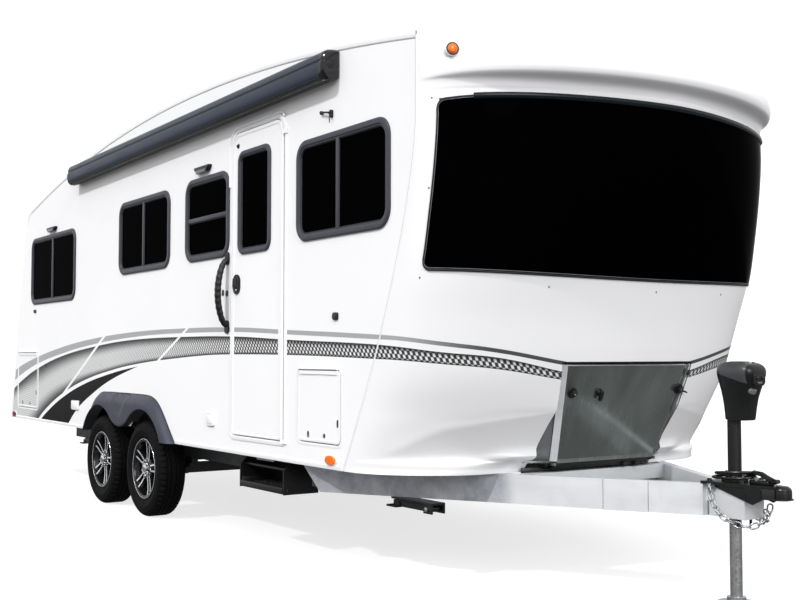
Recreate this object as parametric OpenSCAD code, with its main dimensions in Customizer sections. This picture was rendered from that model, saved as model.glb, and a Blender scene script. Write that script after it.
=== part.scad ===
// Travel caravan on two axles, standing on its wheels and tongue jack.
// X runs forward to the coupler, Y to the left, Z up; the ground is z = 0.
// Inside the modules x is measured from the rear sill and z from the body datum;
// place() moves the body to the middle and lifts it onto its wheels.

/* [Body] */
// Overall length from the rear sill to the nose of the coupler
overall_len = 8160; // [8130:5:8200]
// Outside width over the two side walls
body_w = 2440; // [2400:5:2480]
// Thickness of the side walls, doors and floor edges
wall_t = 40; // [36:1:44]
// Height of the sill above the body datum
sill_z = 530; // [526:1:534]
// Highest point of the roof above the body datum
roof_peak_z = 2930; // [2915:5:2945]
// Place of the highest point along the body
roof_peak_x = 4300; // [4250:10:4350]
// Radius of the roof line seen from the side
roof_r = 17000; // [16700:50:17400]
// Thickness of the roof and of the rear wall
shell_t = 40; // [36:1:44]
// Forward lean of the rear wall in degrees
rear_lean = 13.3; // [12.9:0.1:13.7]
// Radius of the corner between rear wall and roof
rear_r = 190; // [160:5:210]
// Place of the roof seam at the front cap
seam_top_x = 6970; // [6960:1:6980]

/* [Front cap] */
// Wall thickness of the front cap
cap_t = 24; // [20:1:28]
// Gap of the seam between cap and walls
cap_gap = 4; // [3:0.5:6]
// Half angle of the front window opening around the nose
win_half_deg = 75; // [75:1:75]
// Half angle of the notch for the nose box
notch_half_deg = 25; // [25:1:25]
// Thickness of the front glass
front_glass_t = 6; // [5:0.5:8]

/* [Windows] */
// Width of a window frame seen from outside
frame_w = 42; // [36:1:46]
// How far a window frame stands out of the wall
frame_proud = 14; // [11:1:15]
// Corner radius of the window frames
frame_r = 106; // [90:1:115]
// Thickness of the window panes
pane_t = 6; // [4:1:8]

/* [Entry door] */
// Rear edge of the door opening
door_x0 = 4962; // [4956:1:4966]
// Front edge of the door opening
door_x1 = 5630; // [5626:1:5634]
// Lower edge of the door opening
door_z0 = 642; // [638:1:650]
// Upper edge of the door opening
door_z1 = 2532; // [2524:1:2536]
// Gap around a door
door_gap = 6; // [5.5:0.5:8]
// Hinge line of the door ahead of its front edge
door_axis_dx = 8; // [8:1:8]
// Hinge line of the door outside the wall face
door_axis_dy = 10; // [10:1:10]

/* [Baggage doors] */
// Corner radius of the baggage doors
hatch_r = 38; // [30:1:44]
// Hinge line outside the wall face
hatch_axis_dy = 8; // [8:1:8]

/* [Running gear] */
// Outside diameter of the tyres
tyre_d = 690; // [686:1:694]
// Lift of the body datum above the ground
ride_lift = 28; // [24:1:32]
// Width of the tyres
tyre_w = 205; // [195:1:210]
// Diameter of the rims at the bead
rim_d = 406; // [400:1:410]
// Middle of the tyres from the centre plane
wheel_y = 1148; // [1144:1:1152]
// Place of the rear axle
axle_rear_x = 2661; // [2657:1:2665]
// Place of the front axle
axle_front_x = 3549; // [3545:1:3553]
// Radius of the spindles
spindle_r = 20; // [19:0.5:22]
// Running clearance of the hubs on the spindles
spindle_play = 0.06; // [0.04:0.01:0.08]
// Outer radius of the wheel arches in the wall
arch_r = 428; // [422:1:432]
// How far the fenders stand out of the wall
fender_proud = 54; // [46:1:58]

/* [Chassis] */
// Height of the main rails
rail_h = 130; // [120:1:136]
// Width of the main rails
rail_w = 60; // [50:1:64]
// Outer face of the main rails from the centre plane
rail_y = 960; // [956:1:962]
// Rear end of the main rails
rail_x0 = 1200; // [1150:10:1260]
// Front end of the main rails
rail_x1 = 5800; // [5790:1:5810]
// Height of the tongue beams
beam_h = 150; // [146:1:154]
// Width of the tongue beams
beam_w = 50; // [46:1:54]
// Half angle between the tongue beams in degrees
beam_deg = 30; // [29.5:0.1:30.5]
// Front end of the tongue beams
beam_x1 = 7740; // [7735:1:7744]

/* [Tongue] */
// Place of the tongue jack
jack_x = 7853; // [7850:1:7856]
// Outer radius of the jack tube
jack_tube_r = 32; // [31.5:0.5:33]
// Radius of the sliding jack leg
jack_leg_r = 28.5; // [27:0.5:28.5]
// Play of the leg in the tube
jack_play = 0.08; // [0.05:0.01:0.1]
// Diameter of the coupler ball
ball_d = 58.7; // [58:0.1:59]

/* [Awning] */
// Rear end of the awning case
awn_x0 = 1985; // [1975:1:1995]
// Front end of the awning case
awn_x1 = 6255; // [6245:1:6265]
// Lower edge of the awning case
awn_z0 = 2594; // [2590:1:2600]
// Upper edge of the awning case
awn_z1 = 2765; // [2760:1:2770]
// Depth of the awning case
awn_d = 112; // [105:1:118]
// Rise of the awning case towards the front in degrees
awn_tilt = 0.53; // [0:0.01:0.6]

/* [Part] */
// Which piece is drawn

/* [Hidden] */
$fn = 64;
hw = body_w / 2;
face_y = hw;
axle_z = tyre_d / 2 - ride_lift;
rail_z0 = sill_z - rail_h;
beam_z0 = sill_z - beam_h;
roof_cx = roof_peak_x;
roof_cz = roof_peak_z - roof_r;
floor_t = 50;

// ---------- shared helpers ----------
module place() { translate([-overall_len / 2, 0, ride_lift]) children(); }

// drawing in x and z, thickened from y0 to y1
module slab(y0, y1) { translate([0, y1, 0]) rotate([90, 0, 0]) linear_extrude(height = y1 - y0) children(); }

// rounded rectangle from corner to corner, drawn flat
module rrect(x0, z0, x1, z1, r) {
    union() {
        translate([x0 + r, z0]) square([x1 - x0 - 2 * r, z1 - z0]);
        translate([x0, z0 + r]) square([x1 - x0, z1 - z0 - 2 * r]);
        for (cx = [x0 + r, x1 - r], cz = [z0 + r, z1 - r]) translate([cx, cz]) circle(r = r);
    }
}

// box from corner to corner
module bx(a, b) { translate(a) cube(b - a); }

// a mirrored copy on the left
module both() { children(); mirror([0, 1, 0]) children(); }

function mix(a, b, t) = a + (b - a) * t;

// ---------- side profile ----------
lean_d = [sin(rear_lean), cos(rear_lean)];
lean_n = [cos(rear_lean), -sin(rear_lean)];
rear_foot = [0, sill_z];
corner_q = rear_foot + rear_r * lean_n - [roof_cx, roof_cz];
corner_b = 2 * (corner_q * lean_d);
corner_c = corner_q * corner_q - pow(roof_r - rear_r, 2);
corner_s = (-corner_b + sqrt(corner_b * corner_b - 4 * corner_c)) / 2;
corner_p = rear_foot + rear_r * lean_n + corner_s * lean_d;
corner_a0 = 180 - rear_lean;
corner_a1 = atan2(corner_p[1] - roof_cz, corner_p[0] - roof_cx);
roof_a1 = acos((seam_top_x - roof_cx) / roof_r);

function rear_x(z) = (z - sill_z) * tan(rear_lean);
function roof_z(x, t = 0) = roof_cz + sqrt(pow(roof_r - t, 2) - pow(x - roof_cx, 2));
function seam_x(z) = seam_top_x - 0.01178 * pow(max(0, 2300 - z), 1.464);

// rear line and corner, set in by t
function rear_line(t) = concat([[t / cos(rear_lean), sill_z]],
    [for (i = [0:10]) let (a = mix(corner_a0, corner_a1, i / 10))
        corner_p + (rear_r - t) * [cos(a), sin(a)]]);
// roof arc from the corner to the cap, set in by t
function roof_line(t, n = 36) = [for (i = [0:n]) let (a = mix(corner_a1, roof_a1, i / n))
    [roof_cx + (roof_r - t) * cos(a), roof_cz + (roof_r - t) * sin(a)]];
function back(v) = [for (i = [len(v) - 1:-1:0]) v[i]];
// front edge of the side walls from the top down
seam_line = [for (i = [0:20]) let (z = mix(2690, sill_z, i / 20)) [seam_x(z), z]];

module wall_outline() {
    polygon(concat(rear_line(shell_t), [for (p = roof_line(shell_t)) if (p[0] < seam_top_x - 1) p], seam_line));
}

// ---------- openings in the side walls ----------
// windows: rear edge, lower edge, front edge, upper edge, post across (0 none, 1 upright, 2 level), its place
win_right = [
    [645, 1610, 1917, 2231, 1, 0.50],
    [2963, 1755, 3960, 2312, 1, 0.50],
    [4233, 1765, 4914, 2323, 2, 0.50],
    [5791, 1778, 6749, 2350, 1, 0.47]];
win_left = [
    [645, 1610, 1917, 2231, 1, 0.50],
    [2963, 1755, 3960, 2312, 1, 0.50],
    [5791, 1778, 6749, 2350, 1, 0.47]];
// baggage doors: rear edge, lower edge, front edge, upper edge of the opening
hatch_front = [5802, 659, 6274, 1062];
hatch_rear = [240, 641, 878, 1163];
// window in the entry door: rear edge, lower edge, front edge, upper edge
win_door = [5050, 1762, 5480, 2406];

module hatch_hole(h) { rrect(h[0], h[1], h[2], h[3], hatch_r); }
module win_hole(w) { rrect(w[0] + 16, w[1] + 16, w[2] - 16, w[3] - 16, frame_r - 16); }
module door_hole() {
    union() {
        rrect(door_x0, door_z0 + 300, door_x1, door_z1, 90);
        rrect(door_x0, door_z0, door_x1, door_z1 - 300, 20);
    }
}
module arch_hole() {
    union() {
        for (ax = [axle_rear_x, axle_front_x]) translate([ax, axle_z]) circle(r = arch_r, $fn = 96);
        translate([axle_rear_x, sill_z - 20]) square([axle_front_x - axle_rear_x, 96]);
    }
}

module wall_plate(windows, door) {
    slab(-face_y, -face_y + wall_t) difference() {
        wall_outline();
        for (w = windows) win_hole(w);
        hatch_hole(hatch_front);
        hatch_hole(hatch_rear);
        arch_hole();
        if (door) door_hole();
    }
}

module side_wall_right() { color("white") wall_plate(win_right, true); }
module side_wall_left() { color("white") mirror([0, 1, 0]) wall_plate(win_left, false); }

module rear_wall() {
    color("white") difference() {
        slab(-face_y, face_y) polygon(concat(rear_line(0), back(rear_line(shell_t))));
        on_rear() rear_rrect(rear_win, 16, -100, 100);
    }
}

module roof() {
    color("white") slab(-face_y, face_y) polygon(concat(
        [for (p = roof_line(0)) p], back(roof_line(shell_t))));
}

well_x0 = 2190;
well_x1 = 4020;
well_y0 = 925;
well_z1 = 800;
well_t = 12;

module floor() {
    color("silver") difference() {
        translate([0, 0, sill_z]) linear_extrude(height = floor_t) polygon([
            [70, -hw + wall_t], [6285, -hw + wall_t], [6500, -1030], [6620, -850], [6640, -530],
            [6600, -530], [6600, 530], [6640, 530],
            [6620, 850], [6500, 1030], [6285, hw - wall_t], [70, hw - wall_t]]);
        both() bx([well_x0, -hw, sill_z - 1], [well_x1, -well_y0, sill_z + floor_t + 1]);
    }
}

module wheel_wells() {
    color("dimgray") both() difference() {
        bx([well_x0 + 2, -hw + wall_t + 1, sill_z], [well_x1 - 2, -well_y0 - 2, well_z1]);
        bx([well_x0 + 2 + well_t, -hw, sill_z - 1], [well_x1 - 2 - well_t, -well_y0 - 2 - well_t, well_z1 - well_t]);
    }
}

// ---------- front cap ----------
// sections from the sill up: height at the sides, drop of the section at the nose,
// place of the nose, fullness of the section
cap_rows = [
    [530, 0, 6985, 2.1],
    [552, 0, 7020, 1.95],
    [580, 0, 7018, 1.95],
    [612, 0, 6962, 2.0],
    [790, 0, 7085, 2.0],
    [870, 0, 7150, 1.98],
    [1000, 0, 7195, 2.12],
    [1120, 0, 7225, 2.2],
    [1340, 10, 7262, 2.3],
    [1578, 30, 7312, 2.4],
    [1820, 20, 7385, 2.15],
    [2100, 8, 7462, 1.9],
    [2370, 0, 7530, 1.7],
    [2425, 0, 7537, 1.72],
    [2458, 0, 7556, 1.76],
    [2474, 0, 7600, 1.85],
    [2492, 0, 7620, 1.88],
    [2530, 0, 7620, 1.9],
    [2590, 0, 7580, 1.9],
    [2645, 0, 7468, 1.9],
    [2688, 0, 7278, 1.9],
    [2718, 0, 6990, 1.9]];
notch_row = 7;
win_row0 = 9;
win_row1 = 12;
cap_last = len(cap_rows) - 1;

// smooth value of column k at the section number u
function cap_val(u, k) = let (i = min(floor(u), cap_last - 1), t = u - i,
    p0 = cap_rows[max(i - 1, 0)][k], p1 = cap_rows[i][k],
    p2 = cap_rows[i + 1][k], p3 = cap_rows[min(i + 2, cap_last)][k])
    0.5 * (2 * p1 + (p2 - p0) * t + (2 * p0 - 5 * p1 + 4 * p2 - p3) * t * t
        + (3 * p1 - p0 - 3 * p2 + p3) * t * t * t);
// below the crease the lower lip fades into a straight edge at the notch
crease_z = 870;
crease_x = 7150;
notch_slope = 0.72;
lip_fade_deg = 22;
function ease(t) = let (c = min(1, max(0, t))) c * c * (3 - 2 * c);
function nose_x_at(u, a) = let (z = cap_val(u, 0)) z >= crease_z ? cap_val(u, 2)
    : mix(crease_x - notch_slope * (crease_z - z), cap_val(u, 2), ease((abs(a) - notch_half_deg) / lip_fade_deg));
// point of the cap at section u and angle a around the nose
function cap_pt(u, a) = let (z = cap_val(u, 0), n = cap_val(u, 3), xs = seam_x(z) + cap_gap,
    s = min(1, abs(sin(a))))
    [xs + max(0, nose_x_at(u, a) - xs) * pow(max(0, 1 - pow(s, n)), 1 / n), hw * sin(a),
        z - cap_val(u, 1) * pow(cos(a), 2)];
function unit(v) = v / max(norm(v), 1e-9);
function cap_normal(u, a) = let (
    u0 = max(0, u - 0.25), u1 = min(cap_last, u + 0.25),
    a0 = max(-90, a - 2.5), a1 = min(90, a + 2.5))
    unit(cross(cap_pt(u, a1) - cap_pt(u, a0), cap_pt(u1, a) - cap_pt(u0, a)));
function cap_off(u, a, d) = cap_pt(u, a) + d * cap_normal(u, a);

cap_nu = 2 * cap_last;
cap_na = 36;
function cap_idx(i, j) = i * (cap_na + 1) + j;
function cap_has(i, j) = let (u = (i + 0.5) / 2, a = abs(-90 + (j + 0.5) * 5))
    i >= 0 && j >= 0 && i < cap_nu && j < cap_na
    && !(u > win_row0 && u < win_row1 && a < win_half_deg)
    && !(u < notch_row && a < notch_half_deg);

module front_cap() {
    np = (cap_nu + 1) * (cap_na + 1);
    outer = [for (i = [0:cap_nu], j = [0:cap_na]) cap_pt(i / 2, -90 + j * 5)];
    inner = [for (i = [0:cap_nu], j = [0:cap_na]) cap_off(i / 2, -90 + j * 5, -cap_t)];
    faces = [for (i = [0:cap_nu - 1], j = [0:cap_na - 1]) if (cap_has(i, j)) each
        let (a = cap_idx(i, j), b = cap_idx(i, j + 1), c = cap_idx(i + 1, j + 1), d = cap_idx(i + 1, j)) concat(
            [[a, c, b], [a, d, c], [np + a, np + b, np + c], [np + a, np + c, np + d]],
            cap_has(i - 1, j) ? [] : [[a, b, np + b], [a, np + b, np + a]],
            cap_has(i + 1, j) ? [] : [[c, d, np + d], [c, np + d, np + c]],
            cap_has(i, j - 1) ? [] : [[d, a, np + a], [d, np + a, np + d]],
            cap_has(i, j + 1) ? [] : [[b, c, np + c], [b, np + c, np + b]])];
    used = [for (k = [0:np - 1]) let (i = floor(k / (cap_na + 1)), j = k % (cap_na + 1))
        cap_has(i, j) || cap_has(i - 1, j) || cap_has(i, j - 1) || cap_has(i - 1, j - 1)];
    keep = [for (k = [0:np - 1]) if (used[k]) k];
    rank = [for (k = 0, r = 0; k < np; r = r + (used[k] ? 1 : 0), k = k + 1) r];
    nk = len(keep);
    color("white") polyhedron(
        points = concat([for (k = keep) outer[k]], [for (k = keep) inner[k]]),
        faces = [for (f = faces) [for (v = f) v < np ? rank[v] : nk + rank[v - np]]], convexity = 8);
}

// front glass: a patch of the cap surface with round corners, lifted off it
fg_nu = 12;
fg_na = 32;
fg_half_deg = 76.4;
function fg_shrink(p) = abs(p) <= 0.95 ? 0 : 0.13 * (1 - sqrt(max(0, 1 - pow((abs(p) - 0.95) / 0.05, 2))));
function fg_col(j) = let (t = j / fg_na * 2 - 1) sin(90 * t) * 0.6 + t * 0.4;
function fg_point(i, j, d) = let (p = fg_col(j), q = (i / fg_nu * 2 - 1) * (1 - fg_shrink(p)),
    u = mix(win_row0 - 0.09, win_row1 + 0.08, (q + 1) / 2)) cap_off(u, fg_half_deg * p, d);

module front_window() {
    np = (fg_nu + 1) * (fg_na + 1);
    pts = concat([for (i = [0:fg_nu], j = [0:fg_na]) fg_point(i, j, 2 + front_glass_t)],
        [for (i = [0:fg_nu], j = [0:fg_na]) fg_point(i, j, 2)]);
    faces = [for (i = [0:fg_nu - 1], j = [0:fg_na - 1]) each
        let (a = i * (fg_na + 1) + j, b = a + 1, d = a + fg_na + 1, c = d + 1) concat(
            [[a, c, b], [a, d, c], [np + a, np + b, np + c], [np + a, np + c, np + d]],
            i > 0 ? [] : [[a, b, np + b], [a, np + b, np + a]],
            i < fg_nu - 1 ? [] : [[c, d, np + d], [c, np + d, np + c]],
            j > 0 ? [] : [[d, a, np + a], [d, np + a, np + d]],
            j < fg_na - 1 ? [] : [[b, c, np + c], [b, np + c, np + b]])];
    color("black") polyhedron(points = pts, faces = faces, convexity = 4);
}

// ---------- side windows ----------
module frame_shape(w) {
    union() {
        difference() {
            rrect(w[0], w[1], w[2], w[3], frame_r);
            rrect(w[0] + frame_w, w[1] + frame_w, w[2] - frame_w, w[3] - frame_w, frame_r - frame_w);
        }
        if (w[4] == 1) translate([mix(w[0], w[2], w[5]) - 14, w[1] + frame_w - 6]) square([28, w[3] - w[1] - 2 * frame_w + 12]);
        if (w[4] == 2) translate([w[0] + frame_w - 6, mix(w[1], w[3], w[5]) - 14]) square([w[2] - w[0] - 2 * frame_w + 12, 28]);
    }
}
module frames(windows) {
    for (w = windows) slab(-face_y - frame_proud, -face_y - 0.5) frame_shape(w);
}
module panes(windows) {
    for (w = windows) slab(-face_y + 2, -face_y + 2 + pane_t)
        rrect(w[0] + 18, w[1] + 18, w[2] - 18, w[3] - 18, frame_r - 18);
}
module window_frames_right() { color("dimgray") frames(win_right); }
module window_glass_right() { color("black") panes(win_right); }
module window_frames_left() { color("dimgray") mirror([0, 1, 0]) frames(win_left); }
module window_glass_left() { color("black") mirror([0, 1, 0]) panes(win_left); }

// ---------- rear window ----------
// left edge, lower edge and right edge, upper edge along the leaning wall
rear_win = [-760, 1010, 760, 1590];
// local frame on the rear wall: x across, y up the wall, z out of it
module on_rear() { translate([0, 0, sill_z]) rotate([0, rear_lean, 0]) rotate([90, 0, -90]) children(); }
module rear_rrect(w, inset, z0, z1) {
    translate([0, 0, z0]) linear_extrude(height = z1 - z0)
        rrect(w[0] + inset, w[1] + inset, w[2] - inset, w[3] - inset, frame_r - inset);
}
module rear_window_frame() {
    color("dimgray") on_rear() difference() {
        rear_rrect(rear_win, 0, 0.5, frame_proud);
        rear_rrect(rear_win, frame_w, -1, frame_proud + 1);
    }
}
module rear_window_glass() { color("black") on_rear() rear_rrect(rear_win, 18, -2 - pane_t, -2); }

// ---------- entry door ----------
door_y0 = -face_y - 4;
door_y1 = -face_y + wall_t;
door_axis_x = door_x1 - door_gap + door_axis_dx;
door_axis_y = -face_y - door_axis_dy;
hinge_r = 8;
pin_r = 4;
pin_play = 0.06;
hinge_z0 = door_z0 + 20;
hinge_z1 = door_z1 - 110;

module entry_door() {
    color("white") difference() {
        union() {
            slab(door_y0, door_y1) difference() {
                union() {
                    rrect(door_x0 + door_gap, door_z0 + 300, door_x1 - door_gap, door_z1 - door_gap, 90 - door_gap);
                    rrect(door_x0 + door_gap, door_z0 + door_gap, door_x1 - door_gap, door_z1 - 300, 20);
                }
                rrect(win_door[0] + 16, win_door[1] + 16, win_door[2] - 16, win_door[3] - 16, 54);
            }
            // hinge leaf and barrel
            bx([door_x1 - door_gap - 26, door_axis_y - 2, hinge_z0], [door_axis_x, door_y0 + 0.01, hinge_z1]);
            translate([door_axis_x, door_axis_y, hinge_z0]) cylinder(r = hinge_r, h = hinge_z1 - hinge_z0);
        }
        translate([door_axis_x, door_axis_y, hinge_z0 - 1]) cylinder(r = pin_r + pin_play, h = hinge_z1 - hinge_z0 + 2);
    }
}
module door_hinge_post() {
    color("silver") union() {
        translate([door_axis_x, door_axis_y, hinge_z0 - 32]) cylinder(r = pin_r, h = hinge_z1 - hinge_z0 + 64);
        for (z = [hinge_z0 - 30, hinge_z1 + 6]) {
            translate([door_axis_x, door_axis_y, z]) cylinder(r = hinge_r, h = 24);
            bx([door_axis_x, -face_y - 12, z], [door_axis_x + 46, -face_y - 0.2, z + 24]);
        }
    }
}
module entry_door_frame() {
    color("dimgray") slab(door_y0 - 10, door_y0 - 0.3) difference() {
        rrect(win_door[0], win_door[1], win_door[2], win_door[3], 70);
        rrect(win_door[0] + 34, win_door[1] + 34, win_door[2] - 34, win_door[3] - 34, 36);
    }
}
module entry_door_glass() {
    color("black") slab(door_y0 + 4, door_y0 + 4 + pane_t)
        rrect(win_door[0] + 18, win_door[1] + 18, win_door[2] - 18, win_door[3] - 18, 52);
}
module entry_door_lock() {
    color("black") union() {
        slab(door_y0 - 12, door_y0 - 0.3) rrect(4986, 1519, 5078, 1642, 12);
        slab(door_y0 - 26, door_y0 - 11) rrect(5010, 1534, 5070, 1566, 10);
    }
}
module grab_handle() {
    color("black") union() {
        translate([4892, -face_y - 68, 1320]) cylinder(r = 14, h = 430);
        for (z = [1320, 1750]) {
            translate([4892, -face_y - 0.3, z]) rotate([90, 0, 0]) cylinder(r = 15, h = 82);
            translate([4892, -face_y - 0.3, z]) rotate([90, 0, 0]) cylinder(r = 26, h = 10);
        }
    }
}

// ---------- baggage doors ----------
module hatch(h) {
    axis_z = h[3] + 4;
    axis_y = -face_y - hatch_axis_dy;
    color("white") union() {
        slab(-face_y - 3, -face_y + wall_t)
            rrect(h[0] + door_gap, h[1] + door_gap, h[2] - door_gap, h[3] - door_gap, hatch_r - door_gap);
        difference() {
            translate([h[0] + 30, axis_y, axis_z]) rotate([0, 90, 0]) cylinder(r = 5, h = h[2] - h[0] - 60);
            translate([h[0], axis_y, axis_z]) rotate([0, 90, 0]) cylinder(r = 2, h = h[2] - h[0]);
        }
        bx([h[0] + 30, axis_y - 1.4, h[3] - 26], [h[2] - 30, -face_y - 2.9, axis_z - 3]);
    }
}
module hatch_front_right() { hatch(hatch_front); }
module hatch_rear_right() { hatch(hatch_rear); }
module hatch_front_left() { mirror([0, 1, 0]) hatch(hatch_front); }
module hatch_rear_left() { mirror([0, 1, 0]) hatch(hatch_rear); }

// ---------- awning ----------
module awning_shape() {
    polygon([[0.3, awn_z0 + 18], [awn_d * 0.52, awn_z0], [awn_d * 0.75, awn_z0 + 3], [awn_d * 0.94, awn_z0 + 30],
        [awn_d, awn_z0 + 64], [awn_d * 0.98, awn_z1 - 70], [awn_d * 0.94, awn_z1 - 46], [awn_d * 0.85, awn_z1 - 22],
        [awn_d * 0.64, awn_z1 - 7], [awn_d * 0.28, awn_z1 - 0.5], [0.3, awn_z1]]);
}
module along(x0, x1) { translate([x0, -face_y, 0]) mirror([0, 1, 0]) rotate([90, 0, 90]) linear_extrude(height = x1 - x0) children(); }
// the case rises a little towards the front
module awning_rise() {
    mid = [(awn_x0 + awn_x1) / 2, 0, (awn_z0 + awn_z1) / 2];
    translate(mid) rotate([0, -awn_tilt, 0]) translate(-mid) children();
}
module awning_case() { color("dimgray") awning_rise() along(awn_x0 + 24, awn_x1 - 50) awning_shape(); }
module awning_ends() {
    color("black") awning_rise() union() {
        along(awn_x0, awn_x0 + 23) awning_shape();
        along(awn_x1 - 49, awn_x1) awning_shape();
    }
}

// ---------- fenders ----------
// outline corners: place, height
fender_pts = [[2266, 528], [2464, 742], [2528, 810], [2606, 845], [3606, 845], [3720, 822], [3892, 742], [4074, 528]];
module fender() {
    color("dimgray") slab(-face_y - fender_proud, -face_y - 0.3) difference() {
        polygon(fender_pts);
        for (ax = [axle_rear_x, axle_front_x]) translate([ax, axle_z]) circle(r = arch_r, $fn = 96);
        translate([axle_rear_x, 500]) square([axle_front_x - axle_rear_x, 92]);
    }
}
module fender_right() { fender(); }
module fender_left() { mirror([0, 1, 0]) fender(); }

// ---------- wheels ----------
module tyre(ax) {
    w = tyre_w / 2;
    ro = tyre_d / 2;
    ri = rim_d / 2 + 1;
    color([0.1, 0.1, 0.1]) translate([ax, -wheel_y, axle_z]) rotate([90, 0, 0]) rotate_extrude($fn = 96)
        polygon([[ri, -74], [ri + 26, -86], [ri + 70, -w], [ri + 96, -w], [ro - 26, -w + 10], [ro - 6, -w + 26], [ro, -w + 48],
            [ro, w - 48], [ro - 6, w - 26], [ro - 26, w - 10], [ri + 96, w], [ri + 70, w], [ri + 26, 86], [ri, 74]]);
}
module rim(ax) {
    rb = rim_d / 2;
    color("dimgray") translate([ax, -wheel_y, axle_z]) rotate([90, 0, 0]) difference() {
        union() {
            // barrel with its two flanges
            rotate_extrude($fn = 96) polygon([[rb - 9, -88], [rb + 16, -88], [rb + 16, -82], [rb, -76], [rb, 76],
                [rb + 16, 82], [rb + 16, 88], [rb - 9, 88]]);
            // spoked disc
            difference() {
                translate([0, 0, 34]) cylinder(r = rb - 8, h = 34, $fn = 96);
                for (k = [0:4]) rotate(k * 72 + 36) linear_extrude(height = 200)
                    polygon([[84, -16], [rb - 22, -62], [rb - 22, 62], [84, 16]]);
                for (k = [0:4]) rotate(k * 72) linear_extrude(height = 200)
                    polygon([[92, -5], [rb - 26, -15], [rb - 26, 15], [92, 5]]);
            }
            // hub and brake drum
            translate([0, 0, -76]) cylinder(r = 56, h = 144);
            translate([0, 0, -76]) cylinder(r = 128, h = 60);
            translate([0, 0, 67]) cylinder(r = 40, h = 24);
        }
        translate([0, 0, -80]) cylinder(r = spindle_r + spindle_play, h = 132);
    }
}
module tyre_front_right() { tyre(axle_front_x); }
module tyre_rear_right() { tyre(axle_rear_x); }
module tyre_front_left() { mirror([0, 1, 0]) tyre(axle_front_x); }
module tyre_rear_left() { mirror([0, 1, 0]) tyre(axle_rear_x); }
module rim_front_right() { rim(axle_front_x); }
module rim_rear_right() { rim(axle_rear_x); }
module rim_front_left() { mirror([0, 1, 0]) rim(axle_front_x); }
module rim_rear_left() { mirror([0, 1, 0]) rim(axle_rear_x); }

// ---------- axles ----------
arm_len = 150;
arm_t = 32;
module axle(ax) {
    color("dimgray") union() {
        bx([ax + arm_len - 36, -rail_y - 2, axle_z - 30], [ax + arm_len + 36, rail_y + 2, axle_z + 42]);
        both() {
            bx([ax + arm_len - 60, -rail_y + 4, axle_z + 41], [ax + arm_len + 60, -rail_y + 54, rail_z0]);
            slab(-rail_y - arm_t, -rail_y - 1.5) union() {
                translate([ax, axle_z]) circle(r = 42);
                translate([ax + arm_len, axle_z + 6]) circle(r = 44);
                translate([ax, axle_z - 24]) square([arm_len, 54]);
            }
            translate([ax, -rail_y - arm_t + 1, axle_z]) rotate([90, 0, 0]) cylinder(r = spindle_r, h = wheel_y + 40 - rail_y - arm_t + 1);
        }
    }
}
module front_axle() { axle(axle_front_x); }
module rear_axle() { axle(axle_rear_x); }

// ---------- chassis ----------
module chassis_rails() {
    color("silver") both() bx([rail_x0, -rail_y, rail_z0], [rail_x1, -rail_y + rail_w, sill_z]);
}
// places of the members between the rails
cross_x = [1240, 1860, 2480, 3240, 4060, 4660, 5260];
module cross_members() {
    color("silver") union() {
        for (x = cross_x) bx([x, -rail_y + rail_w, sill_z - 84], [x + 50, rail_y - rail_w, sill_z]);
        bx([rail_x1, -1122, rail_z0], [rail_x1 + 60, 1122, sill_z]);
    }
}
beam_x0 = rail_x1 + 30;
beam_cut = 96;
beam_off = beam_w / cos(beam_deg);
tip_x0 = 7700;
tip_x1 = 7963;
tip_hw = 70;
cross_x0 = 6900;
function beam_y(x) = 93 + (7746 - x) * tan(beam_deg);
module tongue_beams() {
    color("silver") difference() {
        union() {
            both() translate([0, 0, beam_z0]) linear_extrude(height = beam_h) polygon([
                [beam_x0, -beam_y(beam_x0)], [beam_x1, -beam_y(beam_x1)],
                [beam_x1, -beam_y(beam_x1) + beam_off], [beam_x0, -beam_y(beam_x0) + beam_off]]);
            // block that joins the two beams under the coupler
            bx([tip_x0, -tip_hw, beam_z0], [tip_x1, tip_hw, sill_z]);
            // cross piece under the nose box
            bx([cross_x0, -520, sill_z - 75], [cross_x0 + 60, 520, sill_z]);
        }
        // slanted rear ends
        slab(-hw - 100, hw + 100) polygon([[beam_x0 - 50, beam_z0 - 1], [beam_x0 + beam_cut, beam_z0 - 1],
            [beam_x0, sill_z + 1], [beam_x0 - 50, sill_z + 1]]);
        translate([jack_x, 0, beam_z0 - 10]) cylinder(r = jack_tube_r + 0.3, h = beam_h + 20);
    }
}

// ---------- coupler and jack ----------
ball_x = 8117;
ball_z = 505;
module coupler() {
    color([0.1, 0.1, 0.1]) difference() {
        union() {
            // plate lying on the beams, side flanges, then the neck and the ball housing
            translate([0, 0, sill_z + 0.3]) linear_extrude(height = 14) polygon([
                [7730, -100], [7960, -82], [8080, -46], [ball_x, -43], [ball_x, 43], [8080, 46], [7960, 82], [7730, 100]]);
            both() slab(-tip_hw - 7, -tip_hw - 1) polygon([[7775, sill_z + 1], [7775, 525], [8012, 456], [8060, 480], [8060, sill_z + 1]]);
            translate([0, 0, 488]) linear_extrude(height = 43) polygon([
                [tip_x1 + 3, -74], [8080, -42], [8080, 42], [tip_x1 + 3, 74]]);
            translate([ball_x, 0, 486]) cylinder(r = 43, h = 44);
            translate([ball_x, 0, 528]) cylinder(r1 = 43, r2 = 26, h = 19);
        }
        translate([ball_x, 0, 400]) cylinder(r = ball_d / 2 + 0.4, h = 128);
        translate([jack_x, 0, 400]) cylinder(r = jack_tube_r + 0.3, h = 200);
        // hollow neck, open below
        translate([0, 0, 430]) linear_extrude(height = 86) polygon([
            [tip_x1 + 12, -60], [8056, -30], [8056, 30], [tip_x1 + 12, 60]]);
    }
}
jack_tube_z0 = 390;
jack_head_z0 = 836;
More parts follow.
